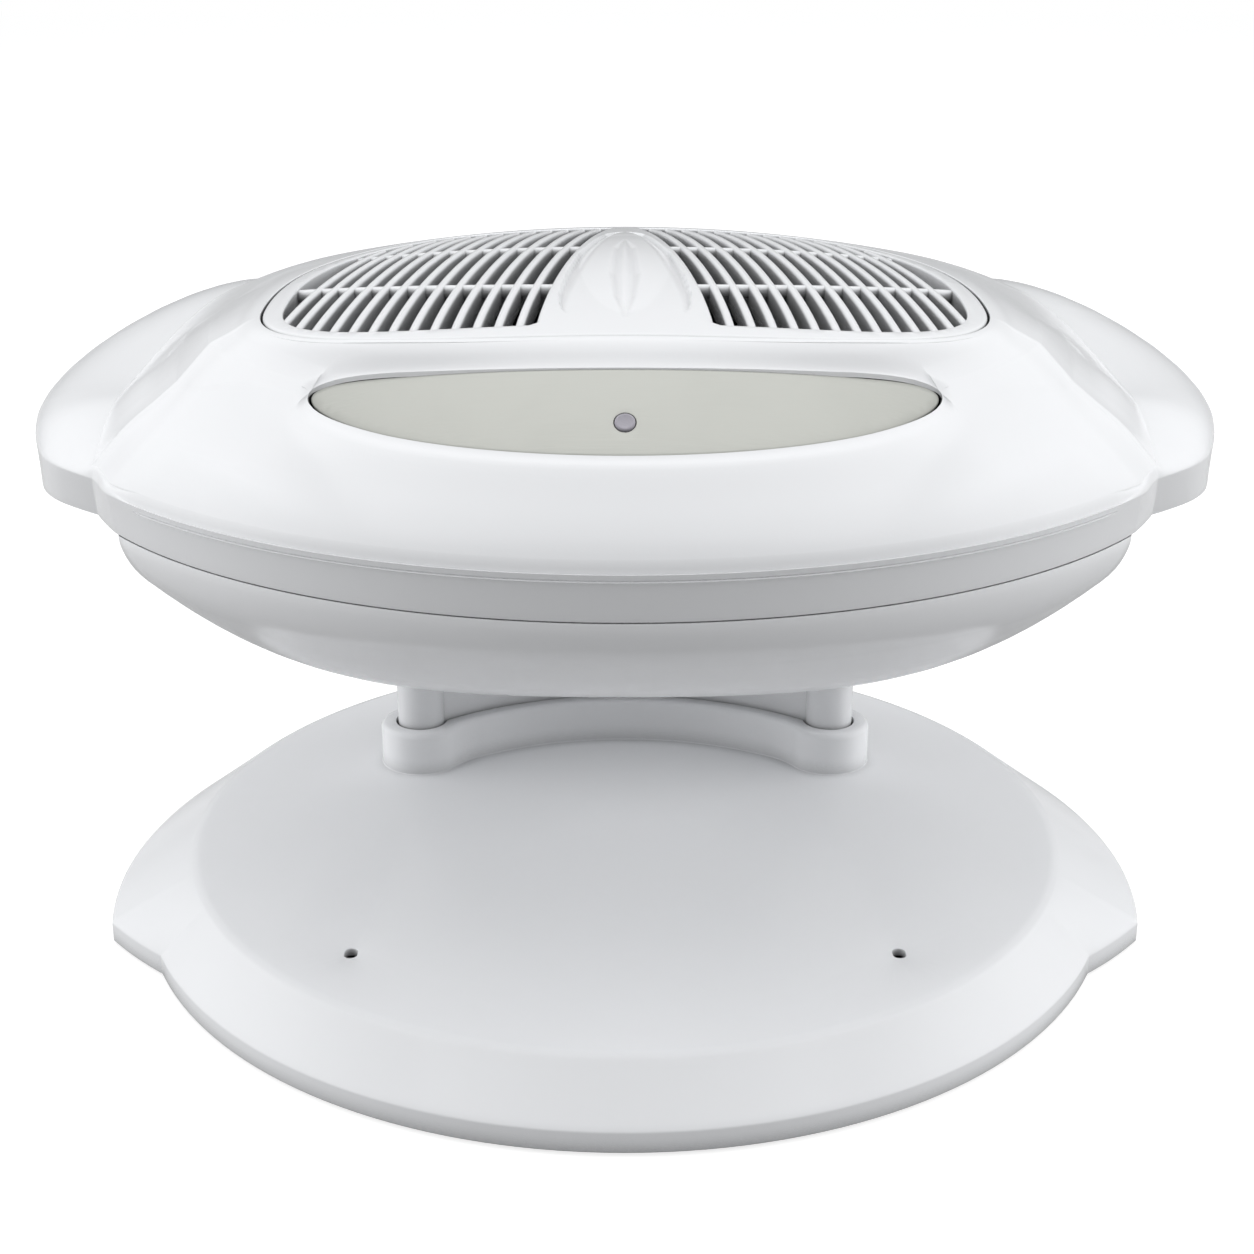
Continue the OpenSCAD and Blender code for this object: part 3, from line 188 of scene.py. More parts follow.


# %% The finishes of this dryer
# deep sets how much shade is painted into the corners of each white
white = finish("white_gloss_plastic", (236, 237, 239), 0.18, bump=0.03, shade=0.008, marks_at=(24, 0.2),
               dust_at=0.02, deep=0.8)
# Painted shade: the column is the same white plastic as the shells, made darker and given a wide corner reach so that
# it reads as lying in the head's shade
shaded_white_column = finish("white_gloss_column_painted_shade", (226, 227, 229), 0.2, bump=0.03, shade=0.008, marks_at=(24, 0.2),
                      deep=0.5, corner_reach=0.05)
white_inside = finish("white_satin_plastic", (226, 227, 228), 0.42, size=1800, bump=0.12, shade=0.015)
silver = finish("brushed_panel_metal", (194, 195, 189), 0.42, metal=0.55, size=90, streak=(1, 14, 14), bump=0.10,
                shade=0.03, marks_at=(40, 0.15), dust_at=0.01)
finishes = {
    "gloss_white": white,
    "matte_white": white_inside,
    "panel_silver": silver,
    "button_grey": finish("soft_grey_button", (166, 163, 172), 0.38, size=2400, bump=0.15, shade=0.02),
    "rubber_black": finish("grey_black_rubber", (40, 40, 42), 0.78, size=1500, bump=0.4, shade=0.1, dust_at=0.15),
    "screw_steel": finish("plated_screw_steel", (176, 172, 160), 0.32, metal=1.0, size=700, bump=0.15, shade=0.08),
    "sensor_black": finish("smoked_sensor_window", (22, 20, 24), 0.12, bump=0.01, shade=0.05, coat=0.4),
    "cable_black": finish("lead_sheath", (30, 30, 32), 0.5, size=1300, bump=0.2, shade=0.06),
    "board_green": finish("green_board_lacquer", (34, 88, 58), 0.35, size=500, bump=0.1, shade=0.12),
    "switch_black": finish("switch_housing", (34, 34, 36), 0.34, size=1600, bump=0.2, shade=0.06),
    "mica": finish("mica_sheet", (176, 160, 128), 0.36, size=240, streak=(1, 1, 6), bump=0.3, shade=0.22),
    "coil_metal": finish("heating_wire", (122, 112, 104), 0.42, metal=1.0, size=900, bump=0.2, shade=0.15),
    "fan_black": finish("fan_frame_plastic", (26, 26, 28), 0.46, size=1400, bump=0.25, shade=0.08, dust_at=0.12),
    "motor_metal": finish("wound_motor_core", (142, 116, 88), 0.38, metal=1.0, size=420, streak=(1, 1, 8), bump=0.4,
                          shade=0.2),
    "rotor_grey": finish("fan_blade_plastic", (48, 49, 52), 0.4, size=1200, bump=0.2, shade=0.08, dust_at=0.14),
    "relay_blue": finish("relay_case", (34, 62, 132), 0.36, size=1500, bump=0.12, shade=0.05),
    "rocker_black": finish("rocker_plastic", (28, 28, 30), 0.28, size=1800, bump=0.12, shade=0.04),
}
print(len(finishes), "finishes")

# %% Give every CAD node its finish
slots = {row["node"]: row["material_slot"] for row in frame["record"]["subparts"]}
for name, obj in frame["nodes"].items():
    if not obj.data.materials:
        obj.data.materials.append(None)
    for k in range(len(obj.material_slots)):
        obj.material_slots[k].material = finishes[slots[name]]
print(len(slots), "CAD nodes dressed")


# %% [markdown]
# ## Rules that the curves share
# The head, the bowl and the tray follow short rules in millimetres. An angle is 0 at the front and grows towards
# +X. These are the rules of the CAD source, written for whole arrays of angles at once.

# %% Curve helpers
def ramp(x, lo, hi):
    t = np.clip((np.asarray(x, float) - lo) / (hi - lo), 0, 1)
    return t * t * (3 - 2 * t)


def mix(p, q, t):
    return p + (q - p) * t


def heading(a):
    a = np.radians(a)
    return np.stack([np.sin(a), -np.cos(a)], -1)


def reach(start, u, centre, r):
    """Distance from a point along u to the far side of a circle."""
    w = np.asarray(start, float) - centre
    b = u @ w
    return -b + np.sqrt(b * b - w @ w + r * r)


def fold(a):
    return np.where(a > 180, 360 - a, a)


def turn_of(*spans):
    """Angles round an outline from spans of (start, end, step) on one side, mirrored to the other."""
    half = np.unique(np.round(np.concatenate([np.arange(s, e + 1e-6, d) for s, e, d in spans]), 4))
    return np.concatenate([half, 360 - half[-2:0:-1]])


# %% Mesh helpers
def ring_faces(rows, n, skip=None):
    """Quads between rows of n points each, closed round; skip(row, column) leaves one out."""
    faces = []
    for j in range(rows - 1):
        for i in range(n):
            if skip is None or not skip(j, i):
                k = (i + 1) % n
                faces.append((j * n + i, j * n + k, (j + 1) * n + k, (j + 1) * n + i))
    return faces


def at_height(plan, z):
    return np.c_[plan, np.full(len(plan), float(z))]


def band(rows, skip=None):
    """Points and faces of a stack of rows."""
    return np.concatenate(rows), ring_faces(len(rows), len(rows[0]), skip)


def capped(rows):
    """Points and faces of a stack of rows, closed at both ends."""
    points, faces = band(rows)
    total, n = len(points), len(rows[0])
    return points, faces + [tuple(range(n)), tuple(range(total - n, total))]


def stitched(*patches):
    """Points and faces of several patches as one."""
    faces, base = [], 0
    for points, patch in patches:
        faces += [tuple(int(i) + base for i in face) for face in patch]
        base += len(points)
    return np.concatenate([points for points, _ in patches]), faces


def soften(rows, sizes, cuts=4):
    """Rounds the corners that some rows make; sizes gives the mm to each side by row number."""
    for k in sorted(sizes, reverse=True):
        here = rows[k]
        before, after = rows[k - 1] - here, rows[k + 1] - here
        lb = np.linalg.norm(before, axis=1, keepdims=True) + 1e-9
        la = np.linalg.norm(after, axis=1, keepdims=True) + 1e-9
        size = np.reshape(sizes[k], (-1, 1))
        p, q = here + before / lb * np.minimum(size, lb * 0.45), here + after / la * np.minimum(size, la * 0.45)
        curve = [p * (1 - t) ** 2 + here * 2 * t * (1 - t) + q * t * t for t in np.linspace(0, 1, cuts + 1)]
        rows = rows[:k] + curve + rows[k + 1:]
    return rows


def add_object(name, data):
    obj = bpy.data.objects.new(name, data)
    bpy.context.collection.objects.link(obj)
    return obj


def smooth_up_to(mesh, sharp):
    """Smooth shading, with edges sharper than an angle in degrees kept crisp."""
    mesh.shade_smooth()
    mesh.set_sharp_from_angle(angle=math.radians(sharp))


def new_object(name, points, faces, sharp=30.0, material=white, merge=0.002):
    """A mesh from points in mm, with doubles merged, faces turned outwards and edges over an angle kept crisp."""
    bm = bmesh.new()
    made = [bm.verts.new(p) for p in (np.asarray(points, float) * 0.001).tolist()]
    for face in faces:
        if len(set(face)) == len(face):
            try:
                bm.faces.new([made[i] for i in face])
            except ValueError:
                pass
    bmesh.ops.remove_doubles(bm, verts=bm.verts, dist=merge * 0.001)
    bmesh.ops.dissolve_degenerate(bm, edges=bm.edges, dist=1e-6)
    loose = [v for v in bm.verts if not v.link_faces]
    bmesh.ops.delete(bm, geom=loose, context="VERTS")
    bmesh.ops.recalc_face_normals(bm, faces=bm.faces)
    mesh = bpy.data.meshes.new(name)
    bm.to_mesh(mesh)
    bm.free()
    mesh.materials.append(material)
    smooth_up_to(mesh, sharp)
    return add_object(name, mesh)


def settle(obj, sharp=30.0):
    """Turns an object with modifiers into a plain mesh and drops the modifiers."""
    for m in obj.modifiers:
        m.show_viewport = True
    graph = bpy.context.evaluated_depsgraph_get()
    mesh = bpy.data.meshes.new_from_object(obj.evaluated_get(graph), depsgraph=graph)
    obj.modifiers.clear()
    old, obj.data = obj.data, mesh
    mesh.name = obj.name
    if not mesh.materials:
        for m in old.materials:
            mesh.materials.append(m)
    smooth_up_to(mesh, sharp)
    return obj


def give_wall(obj, thickness, core, sharp=30.0):
    """A single sheet becomes a wall that grows inwards; core is a point in mm on its inner side."""
    centre = Vector(core) * 0.001
    if sum(p.normal.dot(p.center - centre) * p.area for p in obj.data.polygons) < 0:
        obj.data.flip_normals()
    wall = obj.modifiers.new("wall", "SOLIDIFY")
    wall.thickness, wall.offset, wall.use_even_offset = thickness * 0.001, -1.0, False
    return settle(obj, sharp)


def join_in(obj, *others):
    """Adds the meshes of other objects to one object."""
    bm = bmesh.new()
    bm.from_mesh(obj.data)
    for other in others:
        bm.from_mesh(other.data)
        bpy.data.objects.remove(other)
    bm.to_mesh(obj.data)
    bm.free()


def carve(obj, *cutters, operation="DIFFERENCE", sharp=30.0):
    """Cuts closed solids out of an object, or joins them to it, and leaves a plain mesh."""
    for cutter in cutters:
        m = obj.modifiers.new("cut", "BOOLEAN")
        m.object, m.operation, m.solver = cutter, operation, "EXACT"
    settle(obj, sharp)
    for cutter in cutters:
        bpy.data.objects.remove(cutter)


def place(obj, body, slot_name, *nodes):
    """Last step of every piece: the body it rides on and the CAD nodes it stands for; slot_name, its finish slot, is
    not used.
    """
    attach(obj, body)
    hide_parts(*nodes)
    tris = sum(len(p.vertices) - 2 for p in obj.data.polygons)
    print(f"{obj.name}: {tris} triangles on {body}, for {', '.join(nodes)}")


def prism(name, outline, z0, z1):
    """Closed solid over an outline."""
    return new_object(name, *capped([at_height(outline, z) for z in (z0, z1)]))


def arc(x, y, r, a):
    """Points of a circle at angles in radians, 0 at +X."""
    return np.stack([x + r * np.cos(a), y + r * np.sin(a)], -1)


def quarter(n):
    return np.linspace(0, math.pi / 2, n)


def whole_turn(n):
    return np.linspace(0, 2 * math.pi, n, endpoint=False)


# %% Rules of the head
dome_y, head_r, notch, ear_a, notch_depth = -45.0, 172.7, (63.4, 69.8), 77.5, 2.6
fold_z, seam_z, seam_r, cap_r, dome_top = 169.4, 155.9, 168.1, 490.0, 219.4
ear_shift, ear_r, crease_x, crease_y, crease_r = 6.0, 173.5, 142.0, -55.0, 450.0
ear_drop, ear_front_drop, ledge, fold_rise, front_lip = 17.5, 6.0, 0.5, 1.8, 1.5
notch_tuck, ear_tuck, least_brim, lean_most = 1.1, (0.6, 1.5), (1.5, 10), 4.2
turn_from, turn_power = (0.56, 0.68), 1.65
axis = np.array([0.0, dome_y])


def head_front(a):
    return reach(axis, heading(a), (0, 0), head_r)


def head_ear(a):
    return reach(axis, heading(a), (0, -ear_shift), ear_r)


def round_corner(outline, a):
    """Rounds the plan corner where the ear reaches its full width."""
    soft = sum(outline(a + k) for k in np.linspace(-3.2, 3.2, 9)) / 9
    return mix(outline(a), soft, ramp(a, 72.5, 75.5) * (1 - ramp(a, 80, 84)))


def head_out(a):
    return round_corner(head_plan, np.asarray(a, float))


def head_plan(a):
    inner, outer = head_front(notch[1]) - notch_depth, head_ear(ear_a)
    front = head_front(a) - notch_depth * ramp(a, *notch)
    between = mix(inner, outer, (a - notch[1]) / (ear_a - notch[1]))
    return np.where(a <= notch[1], front, np.where(a <= ear_a, between, head_ear(a)))


def lean(a):
    """Degrees by which the band's lower edge runs ahead of the upper one beside the ear."""
    return lean_most * ramp(a, 48, 66) * (1 - ramp(a, 88, 125))


def head_low(a):
    return round_corner(low_plan, np.asarray(a, float))


def low_plan(a):
    low_at = lambda a: reach(axis, heading(a + lean(a)), (0, 0), seam_r)
    ear_at = lambda a: head_ear(a + lean(a))
    n1, e0 = head_plan(notch[1]) - notch_tuck, ear_at(ear_a) - ear_tuck[0]
    in_notch = mix(low_at(notch[0]), n1, (a - notch[0]) / (notch[1] - notch[0]))
    to_ear = mix(n1, e0, (a - notch[1]) / (ear_a - notch[1]))
    beside = ear_at(a) - mix(*ear_tuck, ramp(a, 90, 150))
    return np.where(a <= notch[0], low_at(a),
                    np.where(a <= notch[1], in_notch, np.where(a <= ear_a, to_ear, beside)))


def rim(a):
    """Distance from the axis to the edge of the dome."""
    edge = reach(axis, heading(a), (crease_x - crease_r, crease_y), crease_r)
    return np.minimum(edge, head_out(a) - mix(*least_brim, ramp(a, 95, 140)))


def cap_z(d):
    return dome_top - cap_r + np.sqrt(cap_r * cap_r - d * d)


def rim_top(a):
    y = dome_y - np.cos(np.radians(a)) * rim(a)
    ear = cap_z(rim(a)) - ear_drop * (1 - ramp(y, -50, 85)) - ear_front_drop * (1 - ramp(y, -97, -55))
    return mix(fold_z + fold_rise, ear, ramp(a, notch[0] - 4, notch[1] + 6))


def spot(a, r, z):
    """Points at angle a and distance r from the head's axis."""
    u = heading(a)
    return np.stack([axis[0] + r * u[:, 0], axis[1] + r * u[:, 1], np.broadcast_to(z, r.shape)], -1)


def polar(p):
    """Angle and distance of points from the head's axis."""
    x, y = p[:, 0], p[:, 1] - dome_y
    return np.degrees(np.arctan2(x, -y)) % 360, np.hypot(x, y)


def reach_to(outline, a):
    """Distance from the head's axis to a closed outline at each angle."""
    angle, distance = polar(outline)
    return np.interp(a, angle, distance, period=360)


def dome_height(f, e, d):
    t0 = mix(*turn_from, ramp(f, 30, 80))
    s = np.maximum(0, (d / e - t0) / (1 - t0))
    return cap_z(d) - (cap_z(e) - rim_top(f)) * s ** turn_power


def dome(a, t):
    f = fold(a)
    e = rim(f)
    return spot(a, e * t, dome_height(f, e, e * t))


def brim(a, w):
    f = fold(a)
    e, o = rim(f), head_out(f)
    n = 2.0 - 0.7 * ramp(f, notch[0], notch[1] + 3) * (1 - ramp(f, notch[1] + 3, 92))
    return spot(a, mix(e, o, w), fold_z + (rim_top(f) - fold_z) * np.maximum(0, 1 - w ** n) ** (1 / n))


def low_ring(a, inset, z):
    f = fold(a)
    r = head_low(f) - inset
    return spot(np.where(a <= 180, a + lean(f), a - lean(f)), r, z)


# %% [markdown]
# ## The dome
# On the real dryer this is one moulding: a shallow dome that runs down to a band, with an ear on each side, an
# opening for the grille and a bevelled slit for the panel. A grid of rows round the axis follows all of these
# edges, so the gloss stays clean right up to them, which a cut made later would not give.

# %% Outline of the grille opening and of the panel's slit
# Half width, reach to the front and back, and fullness there: of the opening, and of the line the louvres follow
grille_y, mouth, field_line = -67.0, (97.0, (55.0, 114.0), (2.6, 2.1)), (96.5, (52.0, 114.0), (3.1, 2.1))
panel_a, panel_t, panel_sag, panel_half = 46.0, 0.7655, 0.022, 0.082
slit_grow, tip_grow, seam_half = 0.0045, 0.12, 0.03


def grille_outline(g, inset=0.0, rule=mouth):
    half, (front, back), (front_full, back_full) = rule
    s, c = np.sin(np.radians(g)), np.cos(np.radians(g))
    n = np.where(c < 0, back_full, front_full)
    b = np.where(c < 0, back, front) - inset
    return np.stack([(half - inset) * np.sign(s) * np.abs(s) ** (2 / n),
                     grille_y - b * np.sign(c) * np.abs(c) ** (2 / n)], -1)


def grille_reach(a, inset=0.0):
    return reach_to(grille_outline(np.arange(0, 360, 0.25), inset), a)


def slit(a, side):
    """Share of the way to the dome's edge where the slit's upper (-1) or lower (+1) edge runs."""
    f = fold(a)
    tip = panel_a + tip_grow
    q = np.minimum(f / tip, 1)
    mid = panel_t + panel_sag * q * q
    beyond = mix(mid, (1 + grille_reach(a) / rim(f)) / 2, ramp(f, tip, 100))
    half = (panel_half + slit_grow) * np.sqrt(np.maximum(1 - q * q, 0))
    return beyond + side * np.where(f < tip, half, seam_half * ramp(f, tip, 70))


# %% Soft forms of the dome that the plain rules leave out
scoop_line = np.array([(119, -60), (109, -92), (97, -112), (82.5, -134), (70, -149)], float)
line_ends = (-0.35, 1.3)
scoop_depth, scoop_lip, roll_height, swell_height = 1.9, 0.8, 0.7, 1.5


def beside_scoop(x, y):
    """Distance in mm from the scoop's line, positive on the side of the rim."""
    best, sign = np.full(len(x), 1e9), np.zeros(len(x))
    last = len(scoop_line) - 2
    for k in range(last + 1):
        o, d = scoop_line[k], scoop_line[k + 1] - scoop_line[k]
        t = np.clip(((x - o[0]) * d[0] + (y - o[1]) * d[1]) / (d @ d),
                    line_ends[0] if k == 0 else 0, line_ends[1] if k == last else 1)
        ex, ey = x - o[0] - t * d[0], y - o[1] - t * d[1]
        dist = np.hypot(ex, ey)
        side = np.sign(ex * -d[1] + ey * d[0])
        closer = dist < best
        best, sign = np.where(closer, dist, best), np.where(closer, side, sign)
    return best * sign


def relief(p):
    """Height in mm to add: the scooped side panels, the roll round the grille and the swell below the panel, and
    what brings the dome's edge level with the grille."""
    y, (angle, d) = p[:, 1], polar(p)
    f = fold(angle)
    gap, to_edge, r = d - grille_reach(angle), rim(f) - d, d / rim(f)
    s = beside_scoop(np.abs(p[:, 0]), y)
    scoop = -scoop_depth * ramp(s, -0.6, 7) * (1 - ramp(s, 9, 24)) + scoop_lip * np.exp(-((s + 2.2) / 3.6) ** 2)
    along = ramp(y, -163, -142) * (1 - ramp(y, -66, -22))
    roll = roll_height * np.exp(-((f - 52) / 20) ** 2) * ramp(gap, 0, 5) * (1 - ramp(gap, 6, 17))
    swell = swell_height * (1 - ramp(f, 34, 56)) * ramp(r, 0.62, 0.8) * (1 - ramp(r, 0.87, 0.94))
    level = (cap_z(d) - dome_height(f, rim(f), d)) * (1 - ramp(gap, 0.3, 7))
    return scoop * along * ramp(to_edge, 1.5, 14.5) + roll + swell + level


# %% Rows of the dome
# The angles are closest at the panel's tips and the notch, and meet the corners of the plan exactly
exact = [(a, a, 1) for a in (*notch, ear_a, 180.0)]
head_a = turn_of((0, 45, 1.25), (45, 46, 0.25), (46, 46.24, 0.04), (46.24, 48.24, 0.25), (48.24, 60, 0.98),
                 (60, 80, 0.4), (80, 180, 1.6), *exact)
f = fold(head_a)
e = rim(f)
start, upper, lower = grille_reach(head_a) / e, slit(head_a, -1), slit(head_a, 1)
# The slit's bevel: its rows and its end in steps of 0.8 mm, how far it dips, and its short wall
step, bevel, bevel_end, bevel_dip, throat = 0.8 / e, [0, 0.3, 0.7, 1.3, 2.1, 3.0, 4.0, 5.0], 5.6, 1.1, 1.2
roll_reach, roll_rise, roll_to = 12, 2.3, (58, 66)
near = 1 - ramp(f, panel_a - 0.5, panel_a + 1.8)
room = np.minimum((upper - start) / (11 * step), 1)
narrow = mix(1, 0.35, 1 - near)
dip = lambda d: -bevel_dip * (1 - ramp(d, 0, bevel[-1])) * near


def roll_over(d):
    """Extra height near the front fold, where the dome turns down in a soft curve; d is the distance to the fold."""
    u = np.maximum(d - ledge, 0) / roll_reach
    return roll_rise * np.sqrt(2 * math.e * u) * np.exp(-u) * (1 - ramp(d, 8, 22)) * (1 - ramp(f, *roll_to))


def dome_row(t, down=0.0):
    p = dome(head_a, t)
    p[:, 2] += relief(p) + down + roll_over(e + front_lip - e * t)
    return p


def brim_row(w):
    p = brim(head_a, w)
    wide = np.minimum(head_out(f) - e, front_lip)
    d = wide * (1 - w)
    easing = lambda v: 1 - np.exp(-v / 1.5)
    front = fold_z + fold_rise * easing(np.maximum(d - ledge, 0)) / easing(wide - ledge) + roll_over(d)
    p[:, 2] = mix(front, p[:, 2], ramp(f, *roll_to))
    return p


span = upper - bevel_end * step * room - start
below = lower + bevel_end * step
rows_a = [dome_row(start + span * k / 12) for k in range(12)]
rows_a += [dome_row(upper - d * step * room * narrow, dip(d)) for d in reversed(bevel)]
rows_b = [dome_row(lower + d * step * narrow, dip(d)) for d in bevel]
rows_b += [dome_row(mix(below, 1, g)) for g in (0.08, 0.2, 0.32, 0.44, 0.56, 0.66, 0.74, 0.81, 0.87, 0.92, 0.96)]
rows_b += [dome_row(1.0)]
rim_row = len(rows_b) - 1
print("dome rows:", len(rows_a), "+", len(rows_b), "of", len(head_a))

# %% Rows of the ear, the fold and the band
seam_gap, turn_in = 0.05, 2.6
rows_b += [brim_row(w) for w in (0.03, 0.07, 0.12, 0.19, 0.28, 0.4, 0.52, 0.64, 0.74, 0.83, 0.9, 0.95, 0.98, 1.0)]
fold_row = len(rows_b) - 1
outer, lowest = rows_b[-1], low_ring(head_a, 0.0, seam_z + seam_gap)
rows_b += [mix(outer, lowest, s) for s in (0.2, 0.5, 0.8)]
seam_row = len(rows_b)
rows_b += [lowest, low_ring(head_a, turn_in, seam_z + seam_gap)]
rows_b = soften(rows_b, {rim_row: 0.05 + 1.8 * ramp(f, 62, 72), fold_row: mix(0.3, 0.9, ramp(f, 60, 80)),
                         seam_row: 0.45})

# %% Seat of the grille: a rounded edge, a short wall and a ledge
def cap_ring(inset, depth):
    r = grille_reach(head_a, inset)
    return spot(head_a, r, cap_z(r) - depth)


ledge_w, ledge_z, wall_top = 3.0, 6.0, 1.5
seat = [cap_ring(ledge_w, ledge_z + 0.8), cap_ring(ledge_w, ledge_z), cap_ring(0.0, ledge_z), cap_ring(0.0, wall_top)]
rows_a = soften(seat + rows_a, {len(seat): 0.6})

# %% Join the rows, leave the slit open and give the moulding its wall
crisp = 26
slit_open = np.minimum(f, np.roll(f, -1)) < panel_a + tip_grow - 1e-6
sink = np.array([0, 0, -throat]) * near[:, None]
all_rows = rows_a + [rows_a[-1] + sink, rows_b[0] + sink] + rows_b
skip = lambda j, i: j == len(rows_a) and slit_open[i]
dome_shell = new_object("dome_shell", *band(all_rows, skip), sharp=crisp)
give_wall(dome_shell, thickness=1.9, core=(0, -45, 150), sharp=crisp)
place(dome_shell, "stand", "gloss_white", "upper_shell")

# %% [markdown]
# ## The bowl
# The lower shell of the head is a wide bowl with full shoulders, pressed in at its flanks. It is made by the same
# rings of points, and its outlets, screw wells and socket are cut afterwards: those edges lie underneath, where
# a cut is crisp on the real moulding too.

# %% Rules of the bowl
bowl_z, bowl_crease_r, bowl_crease_z, bowl_pow = 101.5, 157.7, 139.7, 3.64
bowl_full, bowl_long, flank_x, back_in = 0.197, 0.105, 136.0, 5
lip_out, lip_span = 0.3, (0.2, 7)


def bowl_edge(a):
    flank = reach((0, 0), heading(a), (flank_x - crease_r, crease_y), crease_r)
    back = reach((0, 0), heading(a), (0, -ear_shift), head_r - back_in)
    return np.minimum(np.minimum(seam_r, flank), back)


def bowl_ring(a, r, z):
    size = bowl_edge(fold(a)) / seam_r * r
    turn = np.radians(a)
    size = size * (1 + (1 - r / seam_r) * (bowl_long * np.cos(2 * turn) - bowl_full * np.cos(4 * turn)))
    return at_height(size[:, None] * heading(a), z)


bowl_a = np.arange(0, 360, 2.0)
rise, shoulder = bowl_crease_z - bowl_z, seam_z - bowl_crease_z
rows = [bowl_ring(bowl_a, bowl_crease_r * s, bowl_z + rise * s ** bowl_pow)
        for s in (0.02, 0.1, 0.2, 0.3, 0.4, 0.48, 0.55, 0.61, 0.67, 0.72, 0.77, 0.81, 0.85, 0.885, 0.915, 0.94, 0.96,
                  0.98, 1)]
crease_row = len(rows) - 1
rows += [bowl_ring(bowl_a, bowl_crease_r + (seam_r - bowl_crease_r) * (1 - u * u), seam_z - shoulder * u)
         for u in (0.88, 0.75, 0.62, 0.5, 0.38, 0.26, 0.17, 0.13, 0.1, 0.07, 0.04, 0.02, 0)]
lip = lambda row: 1 + lip_out / seam_r * (1 - ramp(seam_z - row[0, 2], *lip_span))
rows = [row * (lip(row), lip(row), 1) for row in rows]
rows.append(rows[-1] * (0.98, 0.98, 1))
points, faces = band(soften(rows, {len(rows) - 2: 0.35, crease_row: 1.6}))
faces += [(len(points), (i + 1) % len(bowl_a), i) for i in range(len(bowl_a))]
bowl = new_object("bowl_shell", np.concatenate([points, [[0, 0, bowl_z]]]), faces, sharp=crisp)
give_wall(bowl, thickness=2.6, core=(0, 0, 170), sharp=crisp)
print("bowl sheet:", len(bowl.data.polygons), "faces")


# %% Outline of the column, which the bowl, the column and the collar share
post_at, post_r, arc_y, wall_radii = (72.0, 48.4), 8.2, -31.0, (101.8, 111.8)
arc_n, end_n, blend_n = 56, 36, 12


def bone(g, blend=0.0):
    """Dog-bone outline grown by g; blend is the radius where the front of the wall flows into the posts."""
    whole = 2 * math.pi
    post = np.array(post_at)
    centre = np.array([0.0, arc_y])
    span, turn = np.hypot(*(post - centre)), math.atan2(post_at[0], post_at[1] - arc_y)
    r, out_r, in_r = post_r + g, wall_radii[1] + g, wall_radii[0] - g
    on = lambda c, radius, t: np.stack([c[0] + radius * np.sin(t), c[1] + radius * np.cos(t)], -1)
    bearing = lambda v: math.atan2(v[0], v[1])
    # Where the outer arc meets the post, and the centre of the blend in front of the wall
    a1 = turn - math.acos((out_r ** 2 + span ** 2 - r * r) / (2 * out_r * span))
    near, far = in_r - blend, r + blend
    a0 = turn - math.acos((near ** 2 + span ** 2 - far ** 2) / (2 * near * span))
    fillet = on(centre, near, a0)
    t1, t0 = bearing(on(centre, out_r, a1) - post), bearing(fillet - post)
    t0 += whole if t0 < t1 else 0
    sweep_end = a0 + (whole if a0 < t0 - whole else 0)
    end = on(post, r, np.linspace(t1, t0, end_n, endpoint=False))
    curve = on(fillet, blend, np.linspace(t0 - math.pi, sweep_end, blend_n, endpoint=False))
    side = np.concatenate([end, curve])
    inner = on(centre, in_r, np.linspace(a0, -a0, arc_n))
    outer = on(centre, out_r, np.linspace(-a1, a1, arc_n, endpoint=False))
    return np.concatenate([outer, side, inner, side[::-1] * (-1, 1)])


# %% Cut the bowl's openings and add the block for the switch and the inlet
fan_at, outlet_r, well_at, well_seat, head_hole = (46.0, -42.0), 33.4, [(94, -88), (92, 72)], 140.0, 3.4
back_half, (back_lo, back_hi), back_from, back_y, back_round, back_x = 38.0, (132.0, 152.8), 128, 170.7, 9.0, 18.5
below_bowl, back_wall, back_chamfer, back_soft = 90, 2.6, 2.5, 1.2
corner = arc(back_half - back_round, back_y - back_round, back_round, quarter(12)[::-1])
block_plan = np.concatenate([corner[::-1] * (-1, 1), corner, [(back_half, back_from), (-back_half, back_from)]])


def block_ring(inset, z):
    smaller = (1 - inset / back_half, 1 - inset / (back_y - back_from))
    return at_height((block_plan - (0, back_from)) * smaller + (0, back_from), z)


rows = [block_ring(inset, z) for inset, z in
        ((back_chamfer, back_lo), (0, back_lo), (0, back_hi), (back_chamfer, back_hi))]
block = new_object("back_block", *capped(soften(rows, {1: back_soft, 2: back_soft})))
carve(bowl, block, operation="UNION", sharp=crisp)
hollow = prism("hollow", [(x * 0.93, 100 if y < back_from + 1 else y - back_wall) for x, y in block_plan],
               back_lo + back_wall, back_hi - back_wall)
mid = (back_lo + back_hi) / 2
square = ((-1, 160), (1, 160), (1, 180), (-1, 180))
windows = [prism("window", [(x + s * w / 2, y) for s, y in square], mid - h / 2, mid + h / 2)
           for x, w, h in ((-back_x, 21, 13), (back_x, 25, 15))]
outlets = [prism("outlet", arc(s * fan_at[0], fan_at[1], outlet_r, whole_turn(96)), below_bowl, 125)
           for s in (-1, 1)]
wells = [prism("well", arc(s * x, y, head_hole, whole_turn(32)), below_bowl, well_seat)
         for x, y in well_at for s in (-1, 1)]
socket = prism("socket", bone(0.4), below_bowl, 118)
carve(bowl, hollow, *windows, *outlets, *wells, socket, sharp=crisp)

# %% Floor of the ears, between the bowl and the band
floor_lo, floor_hi, floor_inset = 154.9, 157.4, 3.0
floor_in = reach_to(bowl_ring(np.arange(0, 360, 1.0), seam_r, 0) * 0.985, head_a)
rows = [spot(head_a, floor_in, floor_hi), spot(head_a, floor_in, floor_lo),
        low_ring(head_a, floor_inset, floor_lo), low_ring(head_a, floor_inset, floor_hi)]
join_in(bowl, new_object("tongue", *band(rows + rows[:1])))
place(bowl, "stand", "gloss_white", "lower_shell")

